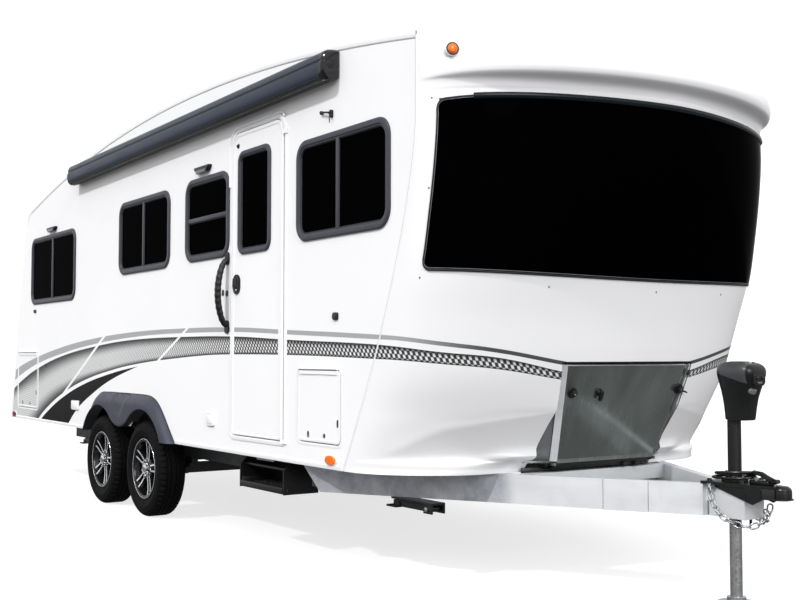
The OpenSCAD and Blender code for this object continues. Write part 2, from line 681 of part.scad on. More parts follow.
module tongue_jack() {
    color([0.12, 0.12, 0.12]) difference() {
        union() {
            translate([jack_x, 0, jack_tube_z0]) cylinder(r = jack_tube_r, h = jack_head_z0 - jack_tube_z0 + 10);
            translate([jack_x, 0, sill_z + 14.6]) cylinder(r = 62, h = 12);
            // power head
            translate([0, 0, jack_head_z0]) linear_extrude(height = 250) rrect(jack_x - 52, -88, jack_x + 152, 88, 40);
            translate([0, 0, jack_head_z0 + 249]) linear_extrude(height = 28) rrect(jack_x - 38, -74, jack_x + 138, 74, 34);
        }
        translate([jack_x, 0, jack_tube_z0 - 1]) cylinder(r = jack_leg_r + jack_play, h = jack_head_z0 - jack_tube_z0);
    }
}
module jack_leg() {
    color("silver") union() {
        translate([jack_x, 0, 8 - ride_lift]) cylinder(r = jack_leg_r, h = 462 + ride_lift);
        translate([jack_x, 0, -ride_lift]) cylinder(r = 88, h = 10);
        translate([jack_x, 0, 9 - ride_lift]) cylinder(r = 44, h = 26);
    }
}

// ---------- entry step ----------
step_x0 = 5030;
step_x1 = 5600;
step_y1 = -rail_y - 5;
module step_frame() {
    color([0.1, 0.1, 0.1]) union() {
        for (x = [step_x0, step_x1 - 12]) translate([x, 0, 0]) rotate([90, 0, 90]) linear_extrude(height = 12)
            polygon([[-1196, 330], [step_y1, 330], [step_y1, sill_z - 1], [-1130, sill_z - 1], [-1196, 470]]);
        bx([step_x0 + 6, -1130, sill_z - 13], [step_x1 - 6, step_y1, sill_z - 1]);
        bx([step_x0 + 6, step_y1 - 12, 400], [step_x1 - 6, step_y1, sill_z - 6]);
    }
}
module step_tread() {
    color([0.1, 0.1, 0.1]) union() {
        bx([step_x0 + 18, -1190, 352], [step_x1 - 18, step_y1 - 20, 364]);
        bx([step_x0 + 18, -1202, 334], [step_x1 - 18, -1190, 372]);
        for (x = [step_x0 + 18, step_x1 - 30]) bx([x, -1190, 340], [x + 12, step_y1 - 20, 392]);
    }
}

// ---------- stabilisers ----------
// place of the pivot, its distance from the centre plane, height of the seat, length of the leg
stab_front = [6640, 880, 380, 380];
stab_rear = [1800, rail_y - 30, 400, 470];
module stab_mount(s) {
    translate([s[0], -s[1], s[2]]) union() {
        bx([-330, -44, -10], [40, 44, -0.4]);
        for (y = [-44, 34]) bx([-32, y, -56], [40, y + 10, -9]);
        translate([0, 44, -34]) rotate([90, 0, 0]) cylinder(r = 9, h = 88);
    }
}
module stab_leg(s) {
    color([0.1, 0.1, 0.1]) translate([s[0], -s[1], s[2]]) difference() {
        union() {
            bx([-s[3] + 40, -22, -50], [0, 22, -18]);
            translate([0, 22, -34]) rotate([90, 0, 0]) cylinder(r = 16, h = 44);
            bx([-s[3], -42, -56], [-s[3] + 90, 42, -46]);
            translate([-s[3] + 92, 28, -38]) rotate([90, 0, 0]) cylinder(r = 14, h = 56);
        }
        translate([0, 60, -34]) rotate([90, 0, 0]) cylinder(r = 9.06, h = 120);
    }
}
module stabiliser_mounts() { color([0.1, 0.1, 0.1]) both() { stab_mount(stab_front); stab_mount(stab_rear); } }
module stabiliser_front_right() { stab_leg(stab_front); }
module stabiliser_rear_right() { stab_leg(stab_rear); }
module stabiliser_front_left() { mirror([0, 1, 0]) stab_leg(stab_front); }
module stabiliser_rear_left() { mirror([0, 1, 0]) stab_leg(stab_rear); }

// ---------- nose box ----------
// lower and upper section: place of the front face, half width of the front face,
// place of the splayed side, its half width, height
nose_lo = [6978, 391, 6905, 500, 582];
nose_hi = [7164, 464, 7120, 500, 1096];
nose_x0 = 6650;
nose_t = 12;
nose_lean = atan2(nose_hi[0] - nose_lo[0], nose_hi[4] - nose_lo[4]);
function nose_section(s, t, x) = [[x, -s[3] + t], [s[2], -s[3] + t], [s[0], -s[1] + t], [s[0], s[1] - t], [s[2], s[3] - t], [x, s[3] - t]];
module nose_solid(t, x, dz0, dz1, dx) {
    lo = nose_section(nose_lo, t, x);
    hi = nose_section(nose_hi, t, x);
    polyhedron(points = concat([for (p = lo) [p[0] + (p[0] > x + 1 ? dx : 0), p[1], nose_lo[4] + dz0]],
            [for (p = hi) [p[0] + (p[0] > x + 1 ? dx : 0), p[1], nose_hi[4] + dz1]]),
        faces = concat([[0, 1, 2, 3, 4, 5], [11, 10, 9, 8, 7, 6]],
            [for (k = [0:5]) let (m = (k + 1) % 6) [k, k + 6, m + 6, m]]), convexity = 4);
}
module nose_box() {
    color("silver") union() {
        difference() {
            nose_solid(0, nose_x0, 0, 0, 0);
            nose_solid(nose_t, nose_x0 + nose_t, nose_t, -nose_t, 40);
        }
        // hinge pin between two lugs
        translate([nose_axis_x, nose_pin_y + 12, nose_axis_z]) rotate([90, 0, 0]) cylinder(r = pin_r, h = 2 * nose_pin_y + 24);
        both() bx([nose_lo[0] - 30, -nose_pin_y - 12, nose_axis_z - 10], [nose_axis_x + 8, -nose_pin_y, nose_axis_z + 4.5]);
    }
}
nose_axis_x = nose_lo[0] + 16;
nose_axis_z = nose_lo[4] - 4;
nose_pin_y = 360;
nose_len = norm([nose_hi[0] - nose_lo[0], nose_hi[4] - nose_lo[4]]);
module nose_box_door() {
    color("silver") difference() {
        union() {
            translate([nose_lo[0] + 1.2, 0, nose_lo[4]]) rotate([0, nose_lean, 0])
                rotate([90, 0, 90]) linear_extrude(height = 14) polygon([
                    [-nose_lo[1], 12], [nose_lo[1], 12], [nose_hi[1], nose_len], [-nose_hi[1], nose_len]]);
            // hinge barrel with its leaf
            translate([nose_axis_x, nose_pin_y - 8, nose_axis_z]) rotate([90, 0, 0]) cylinder(r = 7.5, h = 2 * nose_pin_y - 16);
            bx([nose_axis_x - 1, -nose_pin_y + 8, nose_axis_z], [nose_axis_x + 7, nose_pin_y - 8, nose_axis_z + 24]);
        }
        translate([nose_axis_x, nose_pin_y, nose_axis_z]) rotate([90, 0, 0]) cylinder(r = pin_r + pin_play, h = 2 * nose_pin_y);
    }
}

// ---------- lights ----------
module tail_lights() {
    color("red") both() on_rear() translate([0, 0, 0.3]) linear_extrude(height = 14) rrect(960, 330, 1060, 760, 24);
}
// side markers: place, height
markers = [[6178, 579], [150, 566]];
module marker_lights() {
    color("orange") both() for (m = markers) slab(-face_y - 14, -face_y - 0.3) rrect(m[0] - 54, m[1] - 26, m[0] + 54, m[1] + 26, 24);
}

// ---------- roof equipment ----------
module roof_cut() { slab(-hw, hw) polygon(concat(roof_line(-0.5), [[seam_top_x, 1000], [300, 1000]])); }
module air_conditioner() {
    color("white") difference() {
        union() {
            translate([0, 0, 2860]) linear_extrude(height = 300) rrect(3260, -350, 4240, 350, 90);
            translate([0, 0, 3159]) linear_extrude(height = 40) rrect(3320, -300, 4180, 300, 70);
        }
        roof_cut();
    }
}
// vents: place, height of the lid
vents = [[1500, 2860], [5650, 2940]];
module roof_vents() {
    color("white") difference() {
        for (v = vents) translate([0, 0, v[1] - 150]) linear_extrude(height = 150) rrect(v[0] - 210, -210, v[0] + 210, 210, 40);
        roof_cut();
    }
}

place() floor();
place() side_wall_right();
place() side_wall_left();
place() rear_wall();
place() roof();
place() front_cap();
place() front_window();
place() window_frames_right();
place() window_glass_right();
place() window_frames_left();
place() window_glass_left();
place() rear_window_frame();
place() rear_window_glass();
place() entry_door();
place() entry_door_frame();
place() entry_door_glass();
place() entry_door_lock();
place() door_hinge_post();
place() grab_handle();
place() hatch_front_right();
place() hatch_rear_right();
place() hatch_front_left();
place() hatch_rear_left();
place() awning_case();
place() awning_ends();
place() fender_right();
place() fender_left();
place() wheel_wells();
place() chassis_rails();
place() cross_members();
place() tongue_beams();
place() coupler();
place() tongue_jack();
place() jack_leg();
place() front_axle();
place() rear_axle();
place() tyre_front_right();
place() tyre_rear_right();
place() tyre_front_left();
place() tyre_rear_left();
place() rim_front_right();
place() rim_rear_right();
place() rim_front_left();
place() rim_rear_left();
place() step_frame();
place() step_tread();
place() stabiliser_mounts();
place() stabiliser_front_right();
place() stabiliser_rear_right();
place() stabiliser_front_left();
place() stabiliser_rear_left();
place() nose_box();
place() nose_box_door();
place() tail_lights();
place() marker_lights();
place() air_conditioner();
place() roof_vents();
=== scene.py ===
import math
import bmesh
import bpy
import numpy as np
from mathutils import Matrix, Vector


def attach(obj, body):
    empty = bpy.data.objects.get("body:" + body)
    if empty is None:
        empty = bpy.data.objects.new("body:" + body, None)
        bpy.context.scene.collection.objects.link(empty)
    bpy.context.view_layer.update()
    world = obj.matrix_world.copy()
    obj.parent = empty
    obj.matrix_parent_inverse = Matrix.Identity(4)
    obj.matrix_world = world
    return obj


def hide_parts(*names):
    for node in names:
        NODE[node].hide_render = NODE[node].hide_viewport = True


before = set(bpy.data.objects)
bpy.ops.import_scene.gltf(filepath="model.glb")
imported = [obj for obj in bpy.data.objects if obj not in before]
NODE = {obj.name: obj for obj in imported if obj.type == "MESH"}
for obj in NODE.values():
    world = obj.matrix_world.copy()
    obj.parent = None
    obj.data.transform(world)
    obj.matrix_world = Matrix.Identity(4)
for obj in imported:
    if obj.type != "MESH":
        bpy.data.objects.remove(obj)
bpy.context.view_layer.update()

SCENE = bpy.context.scene

# body datum: x from the rear sill, z from a level below the sill; metres
OX, LIFT = -4.080, 0.028
HW = 1.22
SILL = 0.53
LEAN = math.radians(13.3)
ROOF_R, ROOF_CX = 17.0, 4.300
ROOF_CZ = 2.930 - ROOF_R

# ------------------------------------------------------------------ camera
cam = bpy.data.cameras.new("camera")
cam_ob = bpy.data.objects.new("camera", cam)
SCENE.collection.objects.link(cam_ob)
cam_ob.location = (11.384 + OX, -4.325, 1.145 + LIFT)
cam_ob.rotation_euler = (math.radians(92.768), 0, math.radians(55.721))
cam.sensor_width = 36.0
cam.lens = 1123.974 / 800 * 36.0
cam.clip_end = 1500
SCENE.camera = cam_ob
SCENE.view_settings.view_transform = "Standard"

# ------------------------------------------------------------------ materials


def lin(r, g, b):
    def one(c):
        c /= 255.0
        return c / 12.92 if c <= 0.04045 else ((c + 0.055) / 1.055) ** 2.4
    return (one(r), one(g), one(b), 1.0)


class Graph:
    """Small helper for building a node material."""

    def __init__(self, name):
        self.mat = bpy.data.materials.new(name)
        self.mat.use_nodes = True
        self.nt = self.mat.node_tree
        self.bsdf = next(n for n in self.nt.nodes if n.type == "BSDF_PRINCIPLED")
        self._co = None

    def put(self, socket, value):
        if isinstance(value, bpy.types.NodeSocket):
            self.nt.links.new(value, socket)
        else:
            socket.default_value = value

    def co(self):
        if self._co is None:
            self._co = self.nt.nodes.new("ShaderNodeTexCoord").outputs["Object"]
        return self._co

    def xyz(self):
        s = self.nt.nodes.new("ShaderNodeSeparateXYZ")
        self.put(s.inputs[0], self.co())
        return s.outputs[0], s.outputs[1], s.outputs[2]

    def op(self, kind, *args, clamp=False):
        n = self.nt.nodes.new("ShaderNodeMath")
        n.operation = kind
        n.use_clamp = clamp
        for k, a in enumerate(args):
            self.put(n.inputs[k], a)
        return n.outputs[0]

    def add(self, a, b):
        return self.op("ADD", a, b)

    def sub(self, a, b):
        return self.op("SUBTRACT", a, b)

    def mul(self, a, b):
        return self.op("MULTIPLY", a, b)

    def lt(self, a, b):
        return self.op("LESS_THAN", a, b)

    def gt(self, a, b):
        return self.op("GREATER_THAN", a, b)

    def stretch(self, sx, sy, sz):
        m = self.nt.nodes.new("ShaderNodeMapping")
        self.put(m.inputs["Vector"], self.co())
        m.inputs["Scale"].default_value = (sx, sy, sz)
        return m.outputs[0]

    def noise(self, scale, detail=4.0, rough=0.55, vec=None, distortion=0.0):
        n = self.nt.nodes.new("ShaderNodeTexNoise")
        self.put(n.inputs["Vector"], vec if vec is not None else self.co())
        n.inputs["Scale"].default_value = scale
        n.inputs["Detail"].default_value = detail
        n.inputs["Roughness"].default_value = rough
        n.inputs["Distortion"].default_value = distortion
        return n.outputs["Fac"] if "Fac" in n.outputs else n.outputs[0]

    def rng(self, v, a, b, c, d, smooth=False):
        m = self.nt.nodes.new("ShaderNodeMapRange")
        if smooth:
            m.interpolation_type = "SMOOTHSTEP"
        self.put(m.inputs["Value"], v)
        for k, x in (("From Min", a), ("From Max", b), ("To Min", c), ("To Max", d)):
            self.put(m.inputs[k], x)
        return m.outputs["Result"]

    def mix(self, fac, a, b):
        m = self.nt.nodes.new("ShaderNodeMix")
        m.data_type = "RGBA"
        self.put(m.inputs[0], fac)
        self.put(m.inputs[6], a)
        self.put(m.inputs[7], b)
        return m.outputs[2]

    def curve(self, v, pts, xmax, ymax):
        n = self.nt.nodes.new("ShaderNodeFloatCurve")
        self.put(n.inputs["Value"], self.mul(v, 1.0 / xmax))
        c = n.mapping.curves[0]
        c.points[0].location = (pts[0][0] / xmax, pts[0][1] / ymax)
        c.points[1].location = (pts[-1][0] / xmax, pts[-1][1] / ymax)
        for x, y in pts[1:-1]:
            c.points.new(x / xmax, y / ymax)
        for p in c.points:
            p.handle_type = "AUTO_CLAMPED"
        n.mapping.update()
        return self.mul(n.outputs[0], ymax)

    def bump(self, height, strength, distance=0.001):
        n = self.nt.nodes.new("ShaderNodeBump")
        n.inputs["Strength"].default_value = strength
        n.inputs["Distance"].default_value = distance
        self.put(n.inputs["Height"], height)
        self.put(self.bsdf.inputs["Normal"], n.outputs[0])

    def base(self, value):
        self.put(self.bsdf.inputs["Base Color"], value)

    def set(self, **kw):
        for k, v in kw.items():
            self.bsdf.inputs[k.replace("_", " ")].default_value = v


def tint(c, k):
    return (min(1, c[0] * k), min(1, c[1] * k), min(1, c[2] * k), 1.0)


def finish(name, col, rough, metal=0.0, var=0.08, scale=5.0, rvar=0.05, fine=0.0, fine_scale=300.0,
           spec=0.5, coat=0.0, aniso=None, dirt=0.0, ior=None):
    """Base colour, gloss and fine relief that all vary over the surface."""
    g = Graph(name)
    vec = g.stretch(*aniso) if aniso else None
    n1 = g.noise(scale, 5, 0.6, vec)
    c = g.mix(g.rng(n1, 0.3, 0.7, 0, 1), tint(col, 1 - var), tint(col, 1 + var))
    if dirt:
        n3 = g.noise(scale * 7.3, 6, 0.7)
        c = g.mix(g.rng(n3, 0.55, 0.8, 0, dirt), c, tint(col, 0.45))
    g.base(c)
    n2 = g.noise(scale * 4.7, 4, 0.6, vec)
    g.put(g.bsdf.inputs["Roughness"], g.rng(n2, 0.3, 0.7, max(0.02, rough - rvar), rough + rvar))
    if fine:
        g.bump(g.noise(fine_scale, 3, 0.6, vec), fine, 0.0006)
    g.bsdf.inputs["Metallic"].default_value = metal
    g.bsdf.inputs["Specular IOR Level"].default_value = spec
    if ior:
        g.bsdf.inputs["IOR"].default_value = ior
    if coat:
        g.bsdf.inputs["Coat Weight"].default_value = coat
        g.bsdf.inputs["Coat Roughness"].default_value = 0.06
    return g.mat


# edges of the side bands: place along the side (running on around the nose), height
GREY_UP = [(0.0, 0.955), (0.271, 1.022), (0.901, 1.127), (1.614, 1.212), (2.212, 1.262), (3.199, 1.310), (4.2, 1.322),
           (4.995, 1.313), (5.71, 1.284), (6.6, 1.246), (6.78, 1.236), (7.107, 1.208), (7.492, 1.173), (7.913, 1.114)]
GREY_LO = [(0.0, 0.855), (0.276, 0.935), (0.901, 1.065), (1.6, 1.155), (2.214, 1.214), (3.2, 1.272), (4.2, 1.290),
           (4.995, 1.285), (5.711, 1.258), (6.6, 1.222), (6.778, 1.215), (7.106, 1.187), (7.492, 1.153), (7.913, 1.094)]
MESH_UP = [(0.0, 0.775), (0.28, 0.867), (0.903, 1.022), (1.617, 1.135), (2.398, 1.207), (3.201, 1.252), (4.2, 1.264),
           (4.995, 1.256), (5.7, 1.228), (6.6, 1.195), (6.776, 1.184), (7.104, 1.156), (7.491, 1.129), (7.913, 1.060)]
MESH_LO = [(0.45, 0.30), (0.86, 0.533), (1.202, 0.680), (1.67, 0.823), (2.225, 0.940), (2.766, 1.016), (3.207, 1.062),
           (4.0, 1.114), (4.997, 1.145), (5.8, 1.140), (6.6, 1.122), (6.774, 1.117), (7.1, 1.098), (7.488, 1.072), (7.913, 1.018)]
WEDGE_LO = [(1.40, 0.300), (1.748, 0.538), (2.043, 0.705), (2.417, 0.838), (2.769, 0.938), (3.208, 1.027), (3.52, 1.080)]


def paint(name, bands, tone=1.0):
    """White gloss finish of the panels, with the side bands where they run."""
    g = Graph(name)
    white = tint(lin(243, 243, 245), tone)
    n1 = g.noise(1.3, 4, 0.5)
    c = g.mix(g.rng(n1, 0.3, 0.7, 0, 1), tint(white, 0.975), tint(white, 1.0))
    rough = g.rng(g.noise(9.0, 4, 0.6), 0.3, 0.7, 0.16, 0.26)
    if bands:
        px, py, pz = g.xyz()
        x, z = g.sub(px, OX), g.sub(pz, LIFT)
        ay = g.op("ABSOLUTE", py)
        s = g.add(x, g.sub(HW, ay))
        gu, gl = g.curve(s, GREY_UP, 8.0, 1.6), g.curve(s, GREY_LO, 8.0, 1.6)
        mu, ml = g.curve(s, MESH_UP, 8.0, 1.6), g.curve(s, MESH_LO, 8.0, 1.6)
        wl = g.curve(s, WEDGE_LO, 8.0, 1.6)
        # outside faces only
        out = g.op("MAXIMUM", g.gt(ay, HW - 0.006), g.gt(s, 6.66))
        # two slanted white cuts and the plain strips beside the door
        def cut(x1, z1, x2, z2, w):
            k = (x1 - x2) / (z1 - z2)
            line = g.add(g.mul(g.sub(z, z2), k), x2)
            return g.gt(g.op("ABSOLUTE", g.sub(s, line)), w)
        def strip(x1, x2):
            return g.gt(g.op("ABSOLUTE", g.sub(s, (x1 + x2) / 2)), (x2 - x1) / 2)
        keep = g.mul(g.mul(cut(2.633, 1.288, 1.712, 0.844, 0.030), cut(4.271, 1.324, 3.773, 1.107, 0.024)),
                     g.mul(strip(4.930, 4.990), strip(5.570, 5.664)))
        keep = g.mul(keep, out)
        band = g.mul(g.mul(g.lt(z, gu), g.gt(z, gl)), keep)
        mesh = g.mul(g.mul(g.lt(z, mu), g.gt(z, ml)), keep)
        wedge = g.mul(g.mul(g.lt(z, g.sub(ml, g.rng(s, 1.2, 3.4, 0.040, 0.020))), g.gt(z, wl)), g.mul(g.lt(s, 3.5), out))
        # woven bead pattern of the wide band
        h = g.add(g.mul(s, 0.0013), 0.0112)
        dz = g.sub(z, ml)
        t = g.op("DIVIDE", dz, h)
        ph = g.mul(g.op("LOGARITHM", g.add(g.mul(g.add(s, g.mul(dz, 0.4)), 0.1), 1.0), math.e), 1 / 0.0012)
        egg = g.mul(g.op("COSINE", g.mul(ph, math.pi)), g.op("COSINE", g.mul(t, math.pi)))
        v = g.op("DIVIDE", dz, g.sub(mu, ml))
        front = g.rng(s, 2.8, 5.2, 0.0, 1.0)
        bead = g.rng(egg, g.rng(front, 0, 1, -0.85, -0.24), g.rng(front, 0, 1, 0.85, 0.52), 0.0, 1.0, True)
        lowedge = g.rng(s, 1.3, 2.6, 0.40, 0.20)
        prof = g.mul(g.rng(v, 0.0, lowedge, 0.0, 1.0, True), g.rng(v, g.rng(s, 0.2, 1.0, 0.82, 0.58), 1.0, 1.0, 0.0, True))
        low = g.rng(front, 0, 1, 0.50, 0.04)
        lum = g.mul(g.add(low, g.mul(bead, g.sub(1.0, low))), g.add(0.06, g.mul(prof, 0.94)))
        meshcol = g.mix(lum, lin(30, 31, 32), lin(228, 229, 230))
        greycol = g.mix(g.noise(40, 3), lin(160, 161, 164), lin(172, 173, 176))
        greycol = g.mix(g.rng(s, 6.75, 7.5, 0.0, 1.0, True), greycol, lin(78, 79, 81))
        c = g.mix(band, c, greycol)
        c = g.mix(mesh, c, meshcol)
        c = g.mix(wedge, c, g.mix(g.noise(30, 3), lin(9, 9, 10), lin(15, 15, 16)))
        # painted shade: the unlit edges of the panel inside the wheel arches are coloured near-black
        arch = g.mul(g.mul(g.lt(ay, HW - 0.004), g.gt(x, 2.2)), g.mul(g.lt(x, 4.08), g.lt(z, 1.0)))
        c = g.mix(arch, c, lin(18, 18, 19))
        rough = g.add(rough, g.mul(g.op("MAXIMUM", band, g.op("MAXIMUM", mesh, wedge)), 0.10))
    g.base(c)
    g.put(g.bsdf.inputs["Roughness"], rough)
    g.bump(g.noise(60, 3, 0.5), 0.04, 0.0008)
    g.set(Specular_IOR_Level=0.03)
    return g.mat


M = {}
M["paint"] = paint("paint_bands", True)
M["white"] = paint("paint_white", False)
M["cap"] = paint("cap_gelcoat", True, 0.985)
M["trim"] = finish("trim_white", lin(241, 241, 243), 0.34, var=0.015, scale=3, fine=0.0, spec=0.15)
M["seal"] = finish("seal_grey", lin(196, 197, 201), 0.45, var=0.05, scale=12, fine=0.0, spec=0.2)
M["glass"] = finish("glass_tinted", lin(2, 2, 3), 0.07, var=0.3, scale=0.8, rvar=0.02, spec=0.05, ior=1.05)
M["gasket"] = finish("gasket_rubber", lin(30, 32, 34), 0.5, var=0.2, scale=14, fine=0.12, fine_scale=500, spec=0.3)
M["frame"] = finish("frame_charcoal", lin(56, 57, 66), 0.42, var=0.06, scale=9, rvar=0.06, fine=0.06, fine_scale=420, spec=0.35)
M["frame_in"] = finish("frame_inner", lin(44, 45, 50), 0.45, var=0.08, scale=9, fine=0.06, fine_scale=420, spec=0.35)
M["black"] = finish("plastic_black", lin(13, 13, 14), 0.42, var=0.15, scale=11, rvar=0.08, fine=0.10, fine_scale=600, spec=0.4)
M["steel"] = finish("steel_black", lin(14, 15, 16), 0.33, var=0.22, scale=7, rvar=0.1, fine=0.14, fine_scale=260, spec=0.45, dirt=0.3)
M["char"] = finish("fender_charcoal", lin(54, 56, 70), 0.46, var=0.07, scale=6, rvar=0.07, fine=0.16, fine_scale=520, spec=0.35)
M["awn"] = finish("awning_metal", lin(40, 48, 66), 0.36, var=0.05, scale=2.2, rvar=0.06, fine=0.04, fine_scale=300, spec=0.2, aniso=(0.3, 4, 4))
M["gloss"] = finish("plastic_gloss_black", lin(16, 17, 20), 0.14, var=0.2, scale=8, rvar=0.05, spec=0.5)
M["alu"] = finish("aluminium_mill", lin(226, 228, 231), 0.38, metal=0.35, var=0.10, scale=3.1, rvar=0.12, fine=0.10, fine_scale=180,
                  aniso=(0.5, 0.5, 3.0), dirt=0.12)
M["aludark"] = finish("aluminium_shade", lin(120, 122, 126), 0.5, metal=0.6, var=0.15, scale=4, rvar=0.1, fine=0.1, fine_scale=200, dirt=0.3)
M["galv"] = finish("galvanised", lin(170, 172, 174), 0.34, metal=0.9, var=0.22, scale=16, rvar=0.12, fine=0.1, fine_scale=240, dirt=0.25)
M["chrome"] = finish("chrome", lin(226, 228, 230), 0.08, metal=1.0, var=0.05, scale=20, rvar=0.04)
M["mach"] = finish("machined_face", lin(236, 238, 240), 0.24, metal=0.6, var=0.08, scale=30, rvar=0.08, fine=0.08, fine_scale=400)
M["drum"] = finish("brake_drum", lin(38, 38, 40), 0.6, metal=0.4, var=0.25, scale=14, rvar=0.12, fine=0.2, fine_scale=200, dirt=0.4)
M["board"] = finish("floor_board", lin(58, 60, 62), 0.75, var=0.18, scale=3, rvar=0.1, fine=0.3, fine_scale=90, dirt=0.3)
M["red"] = finish("lens_red", lin(128, 13, 15), 0.12, var=0.12, scale=40, rvar=0.04, fine=0.25, fine_scale=160, coat=0.5)
M["amber"] = finish("lens_amber", lin(246, 116, 10), 0.12, var=0.10, scale=40, rvar=0.04, fine=0.25, fine_scale=160, coat=0.5)
M["clear"] = finish("lens_clear", lin(226, 228, 230), 0.12, var=0.06, scale=40, rvar=0.04, fine=0.3, fine_scale=160, coat=0.5)
M["plate"] = finish("closing_plate", lin(158, 160, 163), 0.45, metal=0.2, var=0.10, scale=5, rvar=0.1, fine=0.1, fine_scale=200, dirt=0.2)
M["reveal"] = finish("reveal_plate", lin(112, 113, 116), 0.42, metal=0.25, var=0.14, scale=6, rvar=0.1, fine=0.1, fine_scale=200, dirt=0.2)
M["rail"] = finish("chassis_paint", lin(62, 65, 66), 0.5, metal=0.3, var=0.18, scale=4, rvar=0.1, fine=0.1, fine_scale=200, dirt=0.3)
M["header"] = finish("header_strip", lin(9, 20, 26), 0.3, var=0.2, scale=14, fine=0.08, fine_scale=500, spec=0.3)
M["membrane"] = finish("roof_membrane", lin(168, 170, 173), 0.62, var=0.08, scale=1.6, rvar=0.08, fine=0.12, fine_scale=90, dirt=0.15, spec=0.2)
M["roofp"] = finish("roof_plastic", lin(232, 232, 233), 0.4, var=0.03, scale=5, rvar=0.06, fine=0.1, fine_scale=300)


def tyre_mat():
    g = Graph("tyre_rubber")
    n = g.noise(22, 5, 0.65)
    c = g.mix(g.rng(n, 0.3, 0.75, 0, 1), lin(6, 6, 7), lin(13, 13, 14))
    g.base(c)
    g.put(g.bsdf.inputs["Roughness"], g.rng(g.noise(60, 4), 0.3, 0.7, 0.55, 0.78))
    g.bump(g.noise(420, 3, 0.6), 0.25, 0.0006)
    g.set(Specular_IOR_Level=0.09)
    return g.mat


def mirror_mat():
    """Polished plate of the nose box: brushed streaks and soft clouding."""
    g = Graph("nose_plate")
    big = g.noise(2.4, 3, 0.5, g.stretch(1.0, 1.6, 0.8), 0.8)
    streak = g.noise(3.0, 5, 0.6, g.stretch(1.0, 26.0, 0.7))
    c1 = g.mix(g.rng(big, 0.32, 0.68, 0, 1), lin(126, 134, 131), lin(164, 171, 168))
    c = g.mix(g.rng(streak, 0.35, 0.7, 0, 0.5), c1, lin(146, 151, 149))
    g.base(c)
    g.put(g.bsdf.inputs["Roughness"], g.rng(g.noise(5.0, 4, 0.6, g.stretch(1, 9, 1)), 0.3, 0.7, 0.14, 0.30))
    g.bump(g.noise(4.0, 4, 0.6, g.stretch(1.0, 130.0, 1.0)), 0.05, 0.0005)
    g.set(Metallic=0.9, Specular_IOR_Level=0.5)
    return g.mat


def jack_mat():
    """Two-tone housing: charcoal hood over a black body."""
    g = Graph("jack_housing")
    px, py, pz = g.xyz()
    x, z = g.sub(px, OX), g.sub(pz, LIFT)
    edge = g.add(g.mul(g.sub(x, 7.814), -0.30), 1.059)
    hood = g.mul(g.rng(g.sub(z, edge), -0.0012, 0.0012, 0, 1), g.rng(x, 7.977, 7.981, 1, 0))
    n = g.rng(g.noise(11, 4, 0.6), 0.3, 0.7, 0, 1)
    g.base(g.mix(hood, g.mix(n, lin(11, 12, 13), lin(16, 17, 18)), g.mix(n, lin(60, 61, 64), lin(70, 71, 74))))
    g.put(g.bsdf.inputs["Roughness"], g.rng(g.noise(50, 4, 0.6), 0.3, 0.7, 0.28, 0.40))
    g.bump(g.noise(600, 3, 0.6), 0.12, 0.0006)
    g.set(Specular_IOR_Level=0.4)
    return g.mat


def beam_mat():
    """Mill aluminium, with a mottled painted shadow where it lies under the body."""
    g = Graph("tongue_aluminium")
    px, py, pz = g.xyz()
    col = lin(226, 228, 231)
    n1 = g.noise(3.1, 5, 0.6, g.stretch(0.5, 0.5, 3.0))
    c = g.mix(g.rng(n1, 0.3, 0.7, 0, 1), tint(col, 0.90), tint(col, 1.05))
    # painted shadow of the body on the rear part of the beams, mottled by noise
    n2 = g.noise(7.0, 6, 0.72)
    body_shadow = g.mul(g.rng(g.sub(px, OX), 6.84, 6.94, 1, 0, True), g.rng(n2, 0.35, 0.65, 0.45, 1.0))
    c = g.mix(body_shadow, c, lin(148, 151, 160))
    n3 = g.noise(22.0, 6, 0.7)
    c = g.mix(g.rng(n3, 0.60, 0.80, 0, 0.14), c, tint(col, 0.45))
    g.base(c)
    g.put(g.bsdf.inputs["Roughness"], g.rng(g.noise(14, 4, 0.6), 0.3, 0.7, 0.28, 0.50))
    g.bump(g.noise(180, 3, 0.6, g.stretch(0.5, 0.5, 3.0)), 0.10, 0.0006)
    g.set(Metallic=0.35, Specular_IOR_Level=0.5)
    return g.mat


M["tyre"] = tyre_mat()
M["beam"] = beam_mat()
M["jack"] = jack_mat()
M["lens"] = finish("lens_smoked", lin(96, 98, 100), 0.14, var=0.10, scale=40, rvar=0.04, fine=0.3, fine_scale=160)
M["mirror"] = mirror_mat()

# ------------------------------------------------------------------ mesh helpers


class Build:
    """Collects shapes and makes one joined mesh of them."""

    def __init__(self):
        self.v, self.f, self.m = [], [], []

    def add(self, shape, m=0):
        verts, faces = shape
        k = len(self.v)
        self.v.extend([tuple(float(c) for c in p) for p in verts])
        self.f.extend([tuple(i + k for i in f) for f in faces])
        self.m.extend([m] * len(faces) if isinstance(m, int) else list(m))
        return self

    def out(self, name, mats, body="caravan", slot=None, replaces=(), smooth=34.0, recalc=True):
        me = bpy.data.meshes.new(name)
        v = np.array(self.v, float) + (OX, 0.0, LIFT)
        me.from_pydata(v.tolist(), [], self.f)
        for k in mats:
            me.materials.append(M[k])
        me.polygons.foreach_set("material_index", self.m)
        if recalc:
            bm = bmesh.new()
            bm.from_mesh(me)
            bmesh.ops.recalc_face_normals(bm, faces=bm.faces)
            bm.to_mesh(me)
            bm.free()
        me.polygons.foreach_set("use_smooth", [True] * len(me.polygons))
        me.set_sharp_from_angle(angle=math.radians(smooth))
        me.update()
        ob = bpy.data.objects.new(name, me)
        SCENE.collection.objects.link(ob)
        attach(ob, body)
        if replaces:
            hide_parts(*replaces)
        return ob


